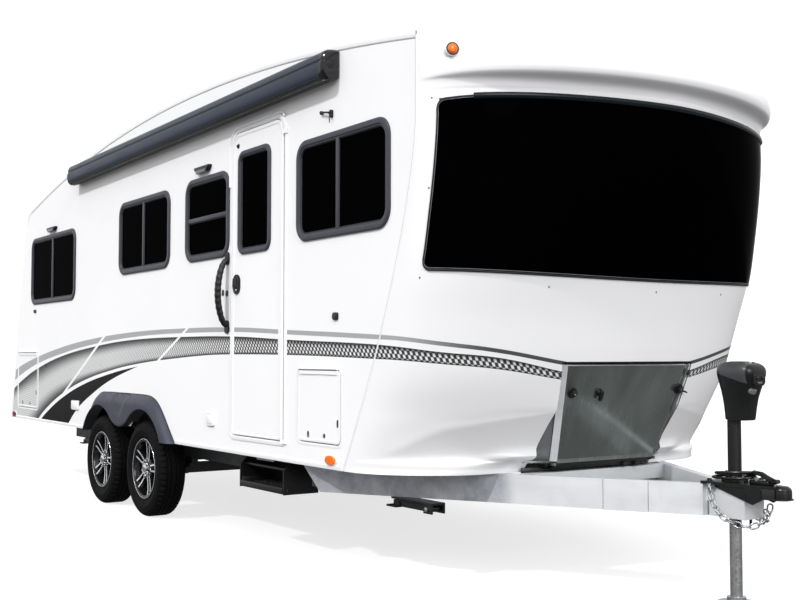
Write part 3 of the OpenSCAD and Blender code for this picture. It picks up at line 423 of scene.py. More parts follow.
def grid(pts, close_u=False, close_v=False):
    """Faces of a point grid given as an array [nu, nv, 3]."""
    nu, nv = pts.shape[:2]
    f = []
    for i in range(nu if close_u else nu - 1):
        for j in range(nv if close_v else nv - 1):
            a, b = i * nv + j, i * nv + (j + 1) % nv
            i2 = (i + 1) % nu
            f.append((a, b, i2 * nv + (j + 1) % nv, i2 * nv + j))
    return pts.reshape(-1, 3), f


def lathe(profile, n=48, centre=(0, 0, 0), axis="y", sign=1.0, a0=0.0):
    """Turns (radius, height) points around an axis; points on the axis become poles."""
    v, rings = [], []
    for r, h in profile:
        ring = []
        for k in range(1 if r < 1e-7 else n):
            t = a0 + 2 * math.pi * k / n
            c, s = r * math.cos(t), r * math.sin(t)
            p = {"y": (c, sign * h, s), "z": (c, s, h), "x": (h, c, s)}[axis]
            ring.append(len(v))
            v.append(tuple(p[i] + centre[i] for i in range(3)))
        rings.append(ring)
    f = []
    closed = profile[0] == profile[-1]
    for a, b in zip(rings[:-1], rings[1:]):
        for k in range(n):
            k2 = (k + 1) % n
            if len(a) == 1 and len(b) == 1:
                continue
            if len(a) == 1:
                f.append((a[0], b[k], b[k2]))
            elif len(b) == 1:
                f.append((a[k], a[k2], b[0]))
            else:
                f.append((a[k], a[k2], b[k2], b[k]))
    if closed:
        nv = len(rings[0])
        off = rings[-1][0]
        f = [tuple(i - off if i >= off else i for i in q) for q in f]
        v = v[:off]
    else:
        if len(rings[0]) > 1:
            f.append(tuple(rings[0]))
        if len(rings[-1]) > 1:
            f.append(tuple(rings[-1][::-1]))
    return v, f


def tube(path, r, n=10, closed=False, flat=1.0):
    p = np.array(path, float)
    m = len(p)
    rad = np.full(m, r) if np.isscalar(r) else np.array(r, float)
    if closed:
        tan = np.roll(p, -1, 0) - np.roll(p, 1, 0)
    else:
        tan = np.gradient(p, axis=0)
    tan /= np.linalg.norm(tan, axis=1)[:, None]
    ref = np.array([0, 0, 1.0]) if abs(tan[0][2]) < 0.9 else np.array([1.0, 0, 0])
    nor = ref - tan[0] * ref.dot(tan[0])
    rings = np.zeros((m, n, 3))
    for i in range(m):
        nor = nor - tan[i] * nor.dot(tan[i])
        nor /= np.linalg.norm(nor)
        bi = np.cross(tan[i], nor)
        for k in range(n):
            t = 2 * math.pi * k / n
            rings[i, k] = p[i] + rad[i] * (math.cos(t) * nor + flat * math.sin(t) * bi)
    v, f = grid(rings, close_u=closed, close_v=True)
    if not closed:
        f.append(tuple(range(n))[::-1])
        f.append(tuple((m - 1) * n + k for k in range(n)))
    return v, f


def bm_out(bm):
    bm.verts.index_update()
    v = [tuple(x.co) for x in bm.verts]
    f = [tuple(x.index for x in q.verts) for q in bm.faces]
    bm.free()
    return v, f


def rbox(a, b, r=0.004, seg=2):
    bm = bmesh.new()
    bmesh.ops.create_cube(bm, size=1.0)
    a, b = np.minimum(a, b), np.maximum(a, b)
    for q in bm.verts:
        q.co = Vector((a[k] + (q.co[k] + 0.5) * (b[k] - a[k]) for k in range(3)))
    r = min(r, 0.45 * float(np.min(b - a)))
    bmesh.ops.bevel(bm, geom=list(bm.edges), offset=r, offset_type="OFFSET", segments=seg, profile=0.5, affect="EDGES")
    return bm_out(bm)


def prism(poly, d0, d1, fr, bev=0.0, seg=2, both=False):
    """Outline raised from depth d0 to d1 in the frame fr, with its outer rim bevelled."""
    bm = bmesh.new()
    lo = [bm.verts.new(fr(p[0], p[1], d0)) for p in poly]
    hi = [bm.verts.new(fr(p[0], p[1], d1)) for p in poly]
    bm.faces.new(lo[::-1])
    top = bm.faces.new(hi)
    n = len(poly)
    for k in range(n):
        bm.faces.new((lo[k], lo[(k + 1) % n], hi[(k + 1) % n], hi[k]))
    if bev:
        edges = list(bm.edges) if both else list(top.edges)
        bmesh.ops.bevel(bm, geom=edges, offset=bev, offset_type="OFFSET", segments=seg, profile=0.5, affect="EDGES")
    return bm_out(bm)


def rr(x0, z0, x1, z1, r, inset=0.0, k=8):
    """Closed rounded rectangle; r is one radius or (low rear, low front, top front, top rear)."""
    rs = (r,) * 4 if np.isscalar(r) else r
    x0, z0, x1, z1 = x0 + inset, z0 + inset, x1 - inset, z1 - inset
    out = []
    for (cx, cz, sx, sz, a0), q in zip(((x0, z0, 1, 1, 180), (x1, z0, -1, 1, 270), (x1, z1, -1, -1, 0), (x0, z1, 1, -1, 90)), rs):
        q = max(0.0012, q - inset)
        for i in range(k + 1):
            t = math.radians(a0 + 90.0 * i / k)
            out.append((cx + sx * q + q * math.cos(t), cz + sz * q + q * math.sin(t)))
    return out


def ring(rect, r, profile, fr, k=8):
    """Sweeps a closed (inset, height) profile around a rounded rectangle."""
    loops = np.array([[fr(u, v, w) for u, v in rr(*rect, r, d, k)] for d, w in profile])
    return grid(loops, close_u=True, close_v=True)


def right(u, v, w):
    return (u, -(HW + w), v)


def left(u, v, w):
    return (u, HW + w, v)


CL, SL = math.cos(LEAN), math.sin(LEAN)


def rear(u, v, w):
    return (-w * CL + v * SL, -u, SILL + w * SL + v * CL)


def floorfr(u, v, w):
    return (u, v, w)


def wallsides():
    return (("right", right), ("left", left))


def stad(cx, cz, hx, hz, k=10):
    r = min(hx, hz) * 0.999
    return rr(cx - hx, cz - hz, cx + hx, cz + hz, r, 0.0, k)


def dome(fr, u, v, r, h, n=20, m=5, w0=0.0):
    """Rounded button on a wall."""
    rows = []
    for i in range(m + 1):
        t = math.pi / 2 * i / m
        rows.append((r * math.cos(t), w0 + h * math.sin(t)))
    pts = np.array([[fr(u + q * math.cos(2 * math.pi * k / n), v + q * math.sin(2 * math.pi * k / n), w)
                     for k in range(n)] for q, w in [(r, w0 - 0.0005)] + rows[:-1]])
    vv, ff = grid(pts, close_v=True)
    vv = list(map(tuple, vv)) + [fr(u, v, w0 + h)]
    last = len(pts) - 1
    ff += [(last * n + k, last * n + (k + 1) % n, len(vv) - 1) for k in range(n)]
    ff.append(tuple(range(n))[::-1])
    return vv, ff


def smooth01(t):
    t = np.clip(t, 0, 1)
    return t * t * (3 - 2 * t)


# ------------------------------------------------------------------ CAD nodes that keep their shape
PLAIN = {
    "side_wall_right": "paint", "side_wall_left": "paint", "rear_wall": "white", "roof": "membrane",
    "entry_door": "paint", "hatch_front_right": "paint", "hatch_rear_right": "paint",
    "hatch_front_left": "paint", "hatch_rear_left": "paint",
    "window_glass_right": "glass", "window_glass_left": "glass", "rear_window_glass": "glass", "entry_door_glass": "glass",
    "floor": "board", "wheel_wells": "black", "chassis_rails": "rail", "cross_members": "rail", "tongue_beams": "beam",
    "front_axle": "steel", "rear_axle": "steel", "nose_box": "mirror", "nose_box_door": "mirror",
    "stabiliser_mounts": "steel", "step_frame": "black", "jack_leg": "galv", "door_hinge_post": "trim",
    "coupler": "steel",
    "stabiliser_front_right": "steel", "stabiliser_rear_right": "steel",
    "stabiliser_front_left": "steel", "stabiliser_rear_left": "steel",
}
BEVEL = {"tongue_beams": 0.004, "chassis_rails": 0.004, "cross_members": 0.003, "coupler": 0.003, "step_frame": 0.002,
         "stabiliser_mounts": 0.002, "entry_door": 0.002, "hatch_front_right": 0.0015, "hatch_rear_right": 0.0015,
         "hatch_front_left": 0.0015, "hatch_rear_left": 0.0015, "stabiliser_front_right": 0.003, "stabiliser_rear_right": 0.003,
         "stabiliser_front_left": 0.003, "stabiliser_rear_left": 0.003, "front_axle": 0.003, "rear_axle": 0.003}
for name, key in PLAIN.items():
    ob = NODE[name]
    ob.data.materials.clear()
    ob.data.materials.append(M[key])
    for p in ob.data.polygons:
        p.material_index = 0

# ------------------------------------------------------------------ front cap
ROWS = np.array([
    [530, 0, 6985, 2.1], [554, 0, 7021, 1.95], [587, 0, 7019, 1.95], [622, 0, 6962, 2.0], [790, 0, 7085, 2.0],
    [870, 0, 7150, 1.98], [1000, 0, 7195, 2.12], [1120, 0, 7225, 2.2], [1340, 10, 7262, 2.3], [1578, 30, 7312, 2.4],
    [1820, 20, 7385, 2.15], [2100, 8, 7462, 1.9], [2370, 0, 7530, 1.7], [2425, 0, 7537, 1.72], [2458, 0, 7556, 1.76],
    [2474, 0, 7600, 1.85], [2492, 0, 7620, 1.88], [2530, 0, 7620, 1.9], [2590, 0, 7580, 1.9], [2645, 0, 7468, 1.9],
    [2688, 0, 7278, 1.9], [2718, 0, 6990, 1.9]], float)
ROWS[:, :3] /= 1000.0
LAST = len(ROWS) - 1
NOTCH_U, NOTCH_A = 6.90, 23.75


def cap_val(u, k):
    i = np.minimum(np.floor(u).astype(int), LAST - 1)
    t = u - i
    p0, p1 = ROWS[np.maximum(i - 1, 0), k], ROWS[i, k]
    p2, p3 = ROWS[i + 1, k], ROWS[np.minimum(i + 2, LAST), k]
    return 0.5 * (2 * p1 + (p2 - p0) * t + (2 * p0 - 5 * p1 + 4 * p2 - p3) * t * t + (3 * p1 - p0 - 3 * p2 + p3) * t ** 3)


def seam_x(z):
    return 6.970 - 0.01178 * np.maximum(0, 2300 - 1000 * z) ** 1.464 / 1000


def cap_pt(u, a):
    u, a = np.broadcast_arrays(np.asarray(u, float), np.asarray(a, float))
    z, n = cap_val(u, 0), cap_val(u, 3)
    nose = cap_val(u, 2)
    w = smooth01((np.abs(a) - 25) / 22)
    straight = 7.150 - 0.72 * (0.870 - z)
    nose = np.where(z < 0.870, straight + (nose - straight) * w, nose)
    xs = seam_x(z) + 0.004
    s = np.minimum(1, np.abs(np.sin(np.radians(a))))
    x = xs + np.maximum(0, nose - xs) * np.maximum(0, 1 - s ** n) ** (1 / n)
    # soft ridge where the chin turns under, falling towards the sides
    t = np.abs(a)
    zc = np.interp(t, [0, 21, 44, 52, 61, 69, 75.5, 82], [0.870, 0.854, 0.790, 0.767, 0.698, 0.628, 0.577, 0.540])
    x = x + 0.011 * np.exp(-np.abs(z - zc) / 0.050) * smooth01((t - 14) / 8) * smooth01((80 - t) / 20) * smooth01((z - 0.615) / 0.05)
    # the groove above the chin runs out towards the nose box
    x = x + 0.036 * np.exp(-((z - 0.618) / 0.028) ** 2) * smooth01((40 - t) / 12)
    return np.stack([x, HW * np.sin(np.radians(a)), z - cap_val(u, 1) * np.cos(np.radians(a)) ** 2], -1)


def cap_norm(u, a):
    u, a = np.broadcast_arrays(np.asarray(u, float), np.asarray(a, float))
    da = cap_pt(u, np.minimum(90, a + 2.5)) - cap_pt(u, np.maximum(-90, a - 2.5))
    du = cap_pt(np.minimum(LAST, u + 0.25), a) - cap_pt(np.maximum(0, u - 0.25), a)
    n = np.cross(da, du)
    return n / np.maximum(np.linalg.norm(n, axis=-1), 1e-9)[..., None]


def cap_off(u, a, d):
    return cap_pt(u, a) + d * cap_norm(u, a)


def notch_a(u):
    """Half angle of the cut-out for the nose box at section u."""
    return np.interp(u, [0, 2, 5, 6.9, 8], [22.3, 22.3, 21.5, 23.0, NOTCH_A])


def notch_warp(u, a):
    k, t = notch_a(u), np.abs(a)
    w = np.where(t <= NOTCH_A, t * k / NOTCH_A, np.where(t < 40, k + (t - NOTCH_A) * (40 - k) / (40 - NOTCH_A), t))
    return np.sign(a) * w


def make_cap():
    nu, na = 8 * LAST, 144
    ul, al = np.arange(nu + 1) / 8.0, -90 + np.arange(na + 1) * 1.25
    ul[55] = NOTCH_U
    U, A = np.meshgrid(ul, al, indexing="ij")
    A = notch_warp(U, A)
    outer, inner = cap_pt(U, A).reshape(-1, 3), cap_off(U, A, -0.024).reshape(-1, 3)
    um, am = (ul[1:] + ul[:-1]) / 2, np.abs(al[1:] + al[:-1]) / 2
    has = np.ones((nu, na), bool)
    has &= ~(((um > 9) & (um < 12))[:, None] & (am < 73.75)[None, :])
    has &= ~((um < NOTCH_U)[:, None] & (am < NOTCH_A)[None, :])
    npt = outer.shape[0]
    idx = lambda i, j: i * (na + 1) + j
    ok = lambda i, j: 0 <= i < nu and 0 <= j < na and has[i, j]
    f = []
    for i in range(nu):
        for j in range(na):
            if not has[i, j]:
                continue
            a, b, c, d = idx(i, j), idx(i, j + 1), idx(i + 1, j + 1), idx(i + 1, j)
            f.append((a, b, c, d))
            f.append((npt + a, npt + d, npt + c, npt + b))
            if not ok(i - 1, j):
                f.append((a, npt + a, npt + b, b))
            if not ok(i + 1, j):
                f.append((d, c, npt + c, npt + d))
            if not ok(i, j - 1):
                f.append((a, d, npt + d, npt + a))
            if not ok(i, j + 1):
                f.append((b, npt + b, npt + c, c))
    allv = np.concatenate([outer, inner])
    used = np.unique(np.array(f))
    rank = -np.ones(2 * npt, int)
    rank[used] = np.arange(len(used))
    b = Build().add((allv[used], [tuple(int(rank[q]) for q in r) for r in f]))
    b.out("front_cap_shell", ["cap"], slot="cap_shell", replaces=["front_cap"], smooth=38)


make_cap()


def fg_shrink(p):
    p = np.abs(p)
    return np.where(p <= 0.95, 0, 0.13 * (1 - np.sqrt(np.maximum(0, 1 - ((p - 0.95) / 0.05) ** 2))))


def fg(q0, p, d):
    q = q0 * (1 - fg_shrink(p))
    k = (q + 1) / 2
    u = 8.91 + (12.08 - 0.14 * np.abs(p) ** 4 - 8.91) * k
    return cap_off(u, (75.6 - 1.2 * k) * p, d)


def make_front_glass():
    nq, npp = 40, 140
    t = np.linspace(-1, 1, npp + 1)
    col = np.sin(np.pi / 2 * t) * 0.6 + t * 0.4
    Q, Pp = np.meshgrid(np.linspace(-1, 1, nq + 1), col, indexing="ij")
    a, b = fg(Q, Pp, 0.008), fg(Q, Pp, 0.002)
    va, fa = grid(a)
    vb, fb = grid(b)
    n = len(va)
    f = list(fa) + [tuple(i + n for i in q[::-1]) for q in fb]
    w = npp + 1
    rim = [j for j in range(w)] + [i * w + npp for i in range(1, nq + 1)] + [nq * w + j for j in range(npp - 1, -1, -1)] + \
        [i * w for i in range(nq - 1, 0, -1)]
    for k in range(len(rim)):
        i, j = rim[k], rim[(k + 1) % len(rim)]
        f.append((i, j, j + n, i + n))
    Build().add((np.concatenate([va, vb]), f)).out("front_window_glass", ["glass"], slot="window_glass", replaces=["front_window"], smooth=50)
    # rubber edge around the glass
    edge = [fg(-1.0, c, 0.004) for c in col] + [fg(q, 1.0, 0.004) for q in np.linspace(-1, 1, nq + 1)[1:]] + \
        [fg(1.0, c, 0.004) for c in col[::-1][1:]] + [fg(q, -1.0, 0.004) for q in np.linspace(1, -1, nq + 1)[1:-1]]
    e = np.array(edge)
    b = Build().add(tube(e, 0.0065, 8, closed=True), 0)
    # thin lighter line inside the rubber edge: a painted highlight along the rubber
    line = [fg(-0.975, c * 0.993, 0.0088) for c in col] + [fg(q, 0.993, 0.0088) for q in np.linspace(-0.975, 0.975, nq + 1)[1:]] + \
        [fg(0.975, c * 0.993, 0.0088) for c in col[::-1][1:]] + [fg(q, -0.993, 0.0088) for q in np.linspace(0.975, -0.975, nq + 1)[1:-1]]
    b.add(tube(np.array(line), 0.0016, 6, closed=True), 1)
    b.out("front_window_seal", ["gasket", "aludark"], slot="black_plastic", smooth=60)
    # dark capping strip along the upper edge, under the visor
    top = np.array([fg(1.0, c, 0.009) for c in np.linspace(-0.80, 0.80, 90)])
    Build().add(tube(top, 0.015, 8, flat=0.7)).out("front_window_header", ["header"], slot="black_plastic", smooth=60)


make_front_glass()

# amber clearance lights in pods on the corners of the cap, small screws under the window
pods, screws = Build(), Build()


def on_cap(u, a):
    p, n = cap_pt(u, a), cap_norm(u, a)
    t = np.cross((0, 0, 1.0), n)
    t /= np.linalg.norm(t)
    up = np.cross(n, t)
    return lambda x, y, w: tuple(p + x * t + y * up + w * n)


for sgn in (-1, 1):
    p0 = cap_pt(18.02, sgn * 70.5)
    n0 = np.array([0.93, sgn * 0.36, 0.02])
    n0 /= np.linalg.norm(n0)
    t0 = np.cross((0, 0, 1.0), n0)
    t0 /= np.linalg.norm(t0)
    u0 = np.cross(n0, t0)
    fr = lambda x, y, w, p=p0, t=t0, u=u0, n=n0: tuple(p + x * t + y * u + w * n)
    pods.add(prism(stad(0.0, 0, 0.0345, 0.0345, 12), -0.085, 0.020, fr, 0.006, 3), 0)
    pods.add(prism(stad(0.0, 0, 0.0310, 0.0310, 12), 0.018, 0.0235, fr, 0.003, 2), 1)
    pods.add(dome(fr, 0.0, 0, 0.0250, 0.012, 24, 5, 0.0225), 2)
    for k in range(3):
        q = 2 * math.pi * k / 3 + 0.5
        pods.add(dome(fr, 0.014 * math.cos(q), 0.014 * math.sin(q), 0.006, 0.004, 10, 3, 0.0315), 2)
for u, a in ((8.75, -76), (10.45, -77), (12.03, -77.5), (8.65, -30.5), (8.65, 4), (8.65, 32.5), (8.75, 76), (10.45, 77), (12.03, 77.5)):
    screws.add(dome(on_cap(u, a), 0, 0, 0.0055, 0.003, 10, 3), 0)
pods.out("cap_clearance_lights", ["white", "black", "amber"], slot="amber_lens")
screws.out("cap_screws", ["aludark"], slot="galvanised")

# ------------------------------------------------------------------ seams and edge trims of the shell


def roof_z(x):
    return ROOF_CZ + math.sqrt(ROOF_R ** 2 - (x - ROOF_CX) ** 2)


REAR_R = 0.190
nq_ = np.array([CL, -SL])
dq_ = np.array([SL, CL])
q_ = np.array([0, SILL]) + REAR_R * nq_ - np.array([ROOF_CX, ROOF_CZ])
b_ = 2 * q_.dot(dq_)
c_ = q_.dot(q_) - (ROOF_R - REAR_R) ** 2
s_ = (-b_ + math.sqrt(b_ * b_ - 4 * c_)) / 2
CORNER = np.array([0, SILL]) + REAR_R * nq_ + s_ * dq_
A0 = math.pi - LEAN
A1 = math.atan2(CORNER[1] - ROOF_CZ, CORNER[0] - ROOF_CX)


def profile_line(t, x_end=6.962):
    """Side outline from the rear sill over the corner to the cap, set in by t."""
    pts = []
    foot = np.array([0, SILL]) + t * np.array([CL, -SL])
    foot = np.array([t / CL, SILL])
    top = CORNER + (REAR_R - t) * np.array([math.cos(A0), math.sin(A0)])
    for k in range(24):
        pts.append(foot + (top - foot) * k / 24.0)
    for k in range(17):
        a = A0 + (A1 - A0) * k / 16.0
        pts.append(CORNER + (REAR_R - t) * np.array([math.cos(a), math.sin(a)]))
    a_end = math.acos((x_end - ROOF_CX) / (ROOF_R - t))
    for k in range(1, 81):
        a = A1 + (a_end - A1) * k / 80.0
        pts.append(np.array([ROOF_CX + (ROOF_R - t) * math.cos(a), ROOF_CZ + (ROOF_R - t) * math.sin(a)]))
    return np.array(pts)


trim = Build()
for side, fr in wallsides():
    # corner moulding that follows rear wall and roof: set-in from the outline, height off the wall
    prof = [(-0.0035, -0.030), (-0.0035, 0.0012), (0.000, 0.0026), (0.012, 0.0032), (0.030, 0.0030), (0.034, 0.0018), (0.035, 0.0004), (0.004, 0.0004), (0.0005, -0.030)]
    loops = np.array([[fr(p[0], p[1], w) for p in profile_line(d)] for d, w in prof])
    v, f = grid(loops, close_u=True)
    nL = loops.shape[1]
    f.append(tuple(k * nL for k in range(len(prof))))
    f.append(tuple(k * nL + nL - 1 for k in range(len(prof)))[::-1])
    trim.add((v, f), 0)
    # seam moulding between side wall and cap
    zz = np.linspace(0.533, 2.700, 90)
    seam = np.array([fr(seam_x(z) + 0.001, z, 0.0008) for z in zz])
    trim.add(tube(seam, 0.0045, 8, flat=0.6), 0)
    seam2 = np.array([fr(seam_x(z) - 0.0075, z, 0.0002) for z in zz])
    trim.add(tube(seam2, 0.0011, 6), 1)
    # sill moulding, broken at the arches
    for xa, xb in ((0.012, 2.268), (4.078, 6.290)):
        pr = [(0.5305, 0.0), (0.5295, 0.0035), (0.534, 0.0052), (0.552, 0.0046), (0.556, 0.0)]
        lo = np.array([[fr(x, z, w) for z, w in pr] for x in np.linspace(xa, xb, 12)])
        v, f = grid(lo, close_v=True)
        f.append(tuple(range(len(pr)))[::-1])
        f.append(tuple((len(lo) - 1) * len(pr) + k for k in range(len(pr))))
        trim.add((v, f), 0)
# cross strip where roof and cap meet
strip = np.array([(6.982, y, roof_z(6.982) - 0.004) for y in np.linspace(-1.2, 1.2, 40)])
trim.add(tube(strip, 0.007, 8, flat=0.5), 0)
trim.out("shell_mouldings", ["trim", "seal"], slot="white_panel", smooth=40)

# ------------------------------------------------------------------ side windows
WIN_R = [(0.645, 1.610, 1.917, 2.231, 1, 0.50), (2.963, 1.755, 3.960, 2.312, 1, 0.50),
         (4.233, 1.765, 4.914, 2.323, 2, 0.50), (5.791, 1.778, 6.749, 2.350, 1, 0.47)]
WIN_L = [WIN_R[0], WIN_R[1], WIN_R[3]]
FRAME_PROF = [(0.0, 0.0006), (0.0, 0.0080), (0.0022, 0.0112), (0.0065, 0.0130), (0.0120, 0.0136), (0.0270, 0.0138), (0.0310, 0.0130),
              (0.0335, 0.0105), (0.0350, 0.0080), (0.0405, 0.0072), (0.0420, 0.0050), (0.0420, 0.0006)]
SEAL_PROF = [(0.0415, -0.0016), (0.0415, 0.0045), (0.0440, 0.0052), (0.0480, 0.0030), (0.0500, -0.0016)]


def window_set(b, wins, fr):
    for x0, z0, x1, z1, kind, at in wins:
        b.add(ring((x0, z0, x1, z1), 0.106, FRAME_PROF, fr, 10), 0)
        b.add(ring((x0, z0, x1, z1), 0.106, SEAL_PROF, fr, 10), 1)
        f = 0.040
        if kind == 1:
            c = x0 + (x1 - x0) * at
            b.add(prism([(c - 0.014, z0 + f), (c + 0.014, z0 + f), (c + 0.014, z1 - f), (c - 0.014, z1 - f)], -0.0016, 0.0095, fr, 0.0028, 2), 0)
            b.add(prism([(c - 0.021, z0 + f), (c - 0.0145, z0 + f), (c - 0.0145, z1 - f), (c - 0.021, z1 - f)], -0.0016, 0.0030, fr, 0.0012, 1), 1)
        elif kind == 2:
            c = z0 + (z1 - z0) * at
            b.add(prism([(x0 + f, c - 0.014), (x1 - f, c - 0.014), (x1 - f, c + 0.014), (x0 + f, c + 0.014)], -0.0016, 0.0095, fr, 0.0028, 2), 0)
            b.add(prism([(x0 + f, c - 0.021), (x1 - f, c - 0.021), (x1 - f, c - 0.0145), (x0 + f, c - 0.0145)], -0.0016, 0.0030, fr, 0.0012, 1), 1)
        # drain slots and clips in the lower frame
        for t in (0.16, 0.84):
            u = x0 + (x1 - x0) * t
            b.add(prism(stad(u, z0 + 0.019, 0.016, 0.0026, 4), 0.0130, 0.0146, fr, 0.0005, 1), 2)
        for t in (0.30, 0.70):
            u = x0 + (x1 - x0) * t
            b.add(prism(stad(u, z1 - 0.040, 0.010, 0.004, 4), 0.0040, 0.0095, fr, 0.001, 1), 2)


b = Build()
window_set(b, WIN_R, right)
b.out("window_frames_right_set", ["frame", "gasket", "frame_in"], slot="frame_dark", replaces=["window_frames_right"])
b = Build()
window_set(b, WIN_L, left)
b.out("window_frames_left_set", ["frame", "gasket", "frame_in"], slot="frame_dark", replaces=["window_frames_left"])
b = Build()
window_set(b, [(-0.760, 1.010, 0.760, 1.590, 0, 0)], rear)
b.out("rear_window_frame_set", ["frame", "gasket", "frame_in"], slot="frame_dark", replaces=["rear_window_frame"])

# ------------------------------------------------------------------ entry door
DOOR = (4.968, 0.648, 5.624, 2.526)
DOOR_R = (0.020, 0.020, 0.084, 0.084)
b = Build()
b.add(ring(DOOR, DOOR_R, [(0.0005, 0.0030), (0.0010, 0.0060), (0.0035, 0.0078), (0.0170, 0.0078), (0.0215, 0.0062), (0.0230, 0.0035)], right, 8), 0)
# hinge knuckle joints
for z in np.arange(0.80, 2.40, 0.16):
    b.add(lathe([(0.0, -0.0015), (0.0084, -0.0015), (0.0084, 0.0015), (0.0, 0.0015)], 14, (5.632, -1.230, z), "z"), 0)
# kick plate seam and lower seal
b.add(prism([(4.99, 0.660), (5.59, 0.660), (5.59, 0.672), (4.99, 0.672)], 0.0035, 0.0062, right, 0.001, 1), 1)
# catch for holding the door open
b.add(prism(stad(5.040, 2.447, 0.0155, 0.0155, 10), 0.0038, 0.0075, right, 0.002, 2), 2)
b.add(dome(right, 5.040, 2.447, 0.0125, 0.011, 20, 5, 0.0070), 2)
b.out("entry_door_trim", ["trim", "seal", "black"], body="entry_door", slot="white_panel")

b = Build()
b.add(ring((5.050, 1.762, 5.480, 2.406), 0.070, [(d * 0.81, w + 0.0040) for d, w in FRAME_PROF], right, 10), 0)
b.add(ring((5.050, 1.762, 5.480, 2.406), 0.070, [(0.0335, -0.0010), (0.0335, 0.0085), (0.037, 0.0090), (0.041, 0.006), (0.043, -0.0010)], right, 10), 1)
b.out("entry_door_window_frame", ["frame", "gasket"], body="entry_door", slot="frame_dark", replaces=["entry_door_frame"])

b = Build()
b.add(prism(stad(5.032, 1.5805, 0.046, 0.0615, 10), 0.0043, 0.0130, right, 0.004, 3), 0)
b.add(ring((5.032 - 0.034, 1.5805 - 0.049, 5.032 + 0.034, 1.5805 + 0.049), 0.033, [(0.0, 0.0120), (0.0, 0.0155), (0.003, 0.0170), (0.007, 0.0150), (0.008, 0.0120)], right, 8), 1)
b.add(prism([(5.008, 1.560), (5.056, 1.560), (5.052, 1.618), (5.014, 1.618)], 0.0125, 0.0290, right, 0.005, 3), 0)
b.add(dome(right, 5.032, 1.545, 0.0095, 0.006, 16, 4, 0.0128), 2)
b.add(prism([(5.0312, 1.540), (5.0328, 1.540), (5.0328, 1.550), (5.0312, 1.550)], 0.0170, 0.0196, right), 0)
b.out("entry_door_latch", ["black", "frame", "chrome"], body="entry_door", slot="black_plastic", replaces=["entry_door_lock"])

# door surround on the wall, with a drip rail above
b = Build()
b.add(ring((4.962, 0.642, 5.648, 2.532), (0.020, 0.020, 0.092, 0.090),
           [(-0.0015, 0.0004), (-0.0015, 0.0040), (-0.0040, 0.0062), (-0.0200, 0.0062), (-0.0255, 0.0045), (-0.0270, 0.0004)], right, 8), 0)
arc = [(4.930, 2.20), (4.930, 2.30), (4.930, 2.40)]
arc += [(4.930 + 0.125 - 0.125 * math.cos(t), 2.44 + 0.125 * math.sin(t)) for t in np.linspace(0, math.pi / 2, 10)]
arc += [(x, 2.565) for x in np.linspace(5.12, 5.60, 12)]
arc += [(5.60 + 0.05 * math.sin(t), 2.515 + 0.05 * math.cos(t)) for t in np.linspace(0.2, 1.2, 6)]
b.add(tube([right(u, v, 0.006) for u, v in arc], 0.0085, 16, flat=1.0), 0)
b.add(tube([right(u + (0.010 if u < 4.95 else 0.0), v - (0.010 if u >= 4.95 else 0.0), 0.0025) for u, v in arc[:-4]], 0.0032, 12), 1)
b.out("entry_door_surround", ["trim", "seal"], slot="white_panel", smooth=40)

# grab handle beside the door
b = Build()
path, rad = [], []
for t in np.linspace(0, 1, 67):
    z = 1.330 + 0.410 * t
    path.append((4.892, -(HW + 0.012 + 0.058 * math.sin(math.pi * t) ** 0.55), z))
    rad.append(0.0165 + 0.0030 * math.sin(math.pi * t) + 0.0011 * math.cos(2 * math.pi * t * 11))
b.add(tube(path, rad, 14, flat=1.35), 0)
for zc, sgn in ((1.318, 1), (1.752, -1)):
    b.add(prism(stad(4.892, zc, 0.026, 0.042, 10), 0.0004, 0.0120, right, 0.005, 3), 0)
    b.add(dome(right, 4.892, zc - sgn * 0.020, 0.0075, 0.004, 14, 3, 0.0115), 1)
    b.add(dome(right, 4.892, zc + sgn * 0.022, 0.020, 0.024, 16, 4, 0.008), 0)
for x_, z_ in ((4.826, 1.537), (4.882, 1.531)):
    b.add(prism(stad(x_, z_, 0.0125, 0.0200, 8), 0.0004, 0.0070, right, 0.003, 2), 1)
b.out("grab_handle_bow", ["black", "frame_in"], slot="black_plastic", replaces=["grab_handle"])

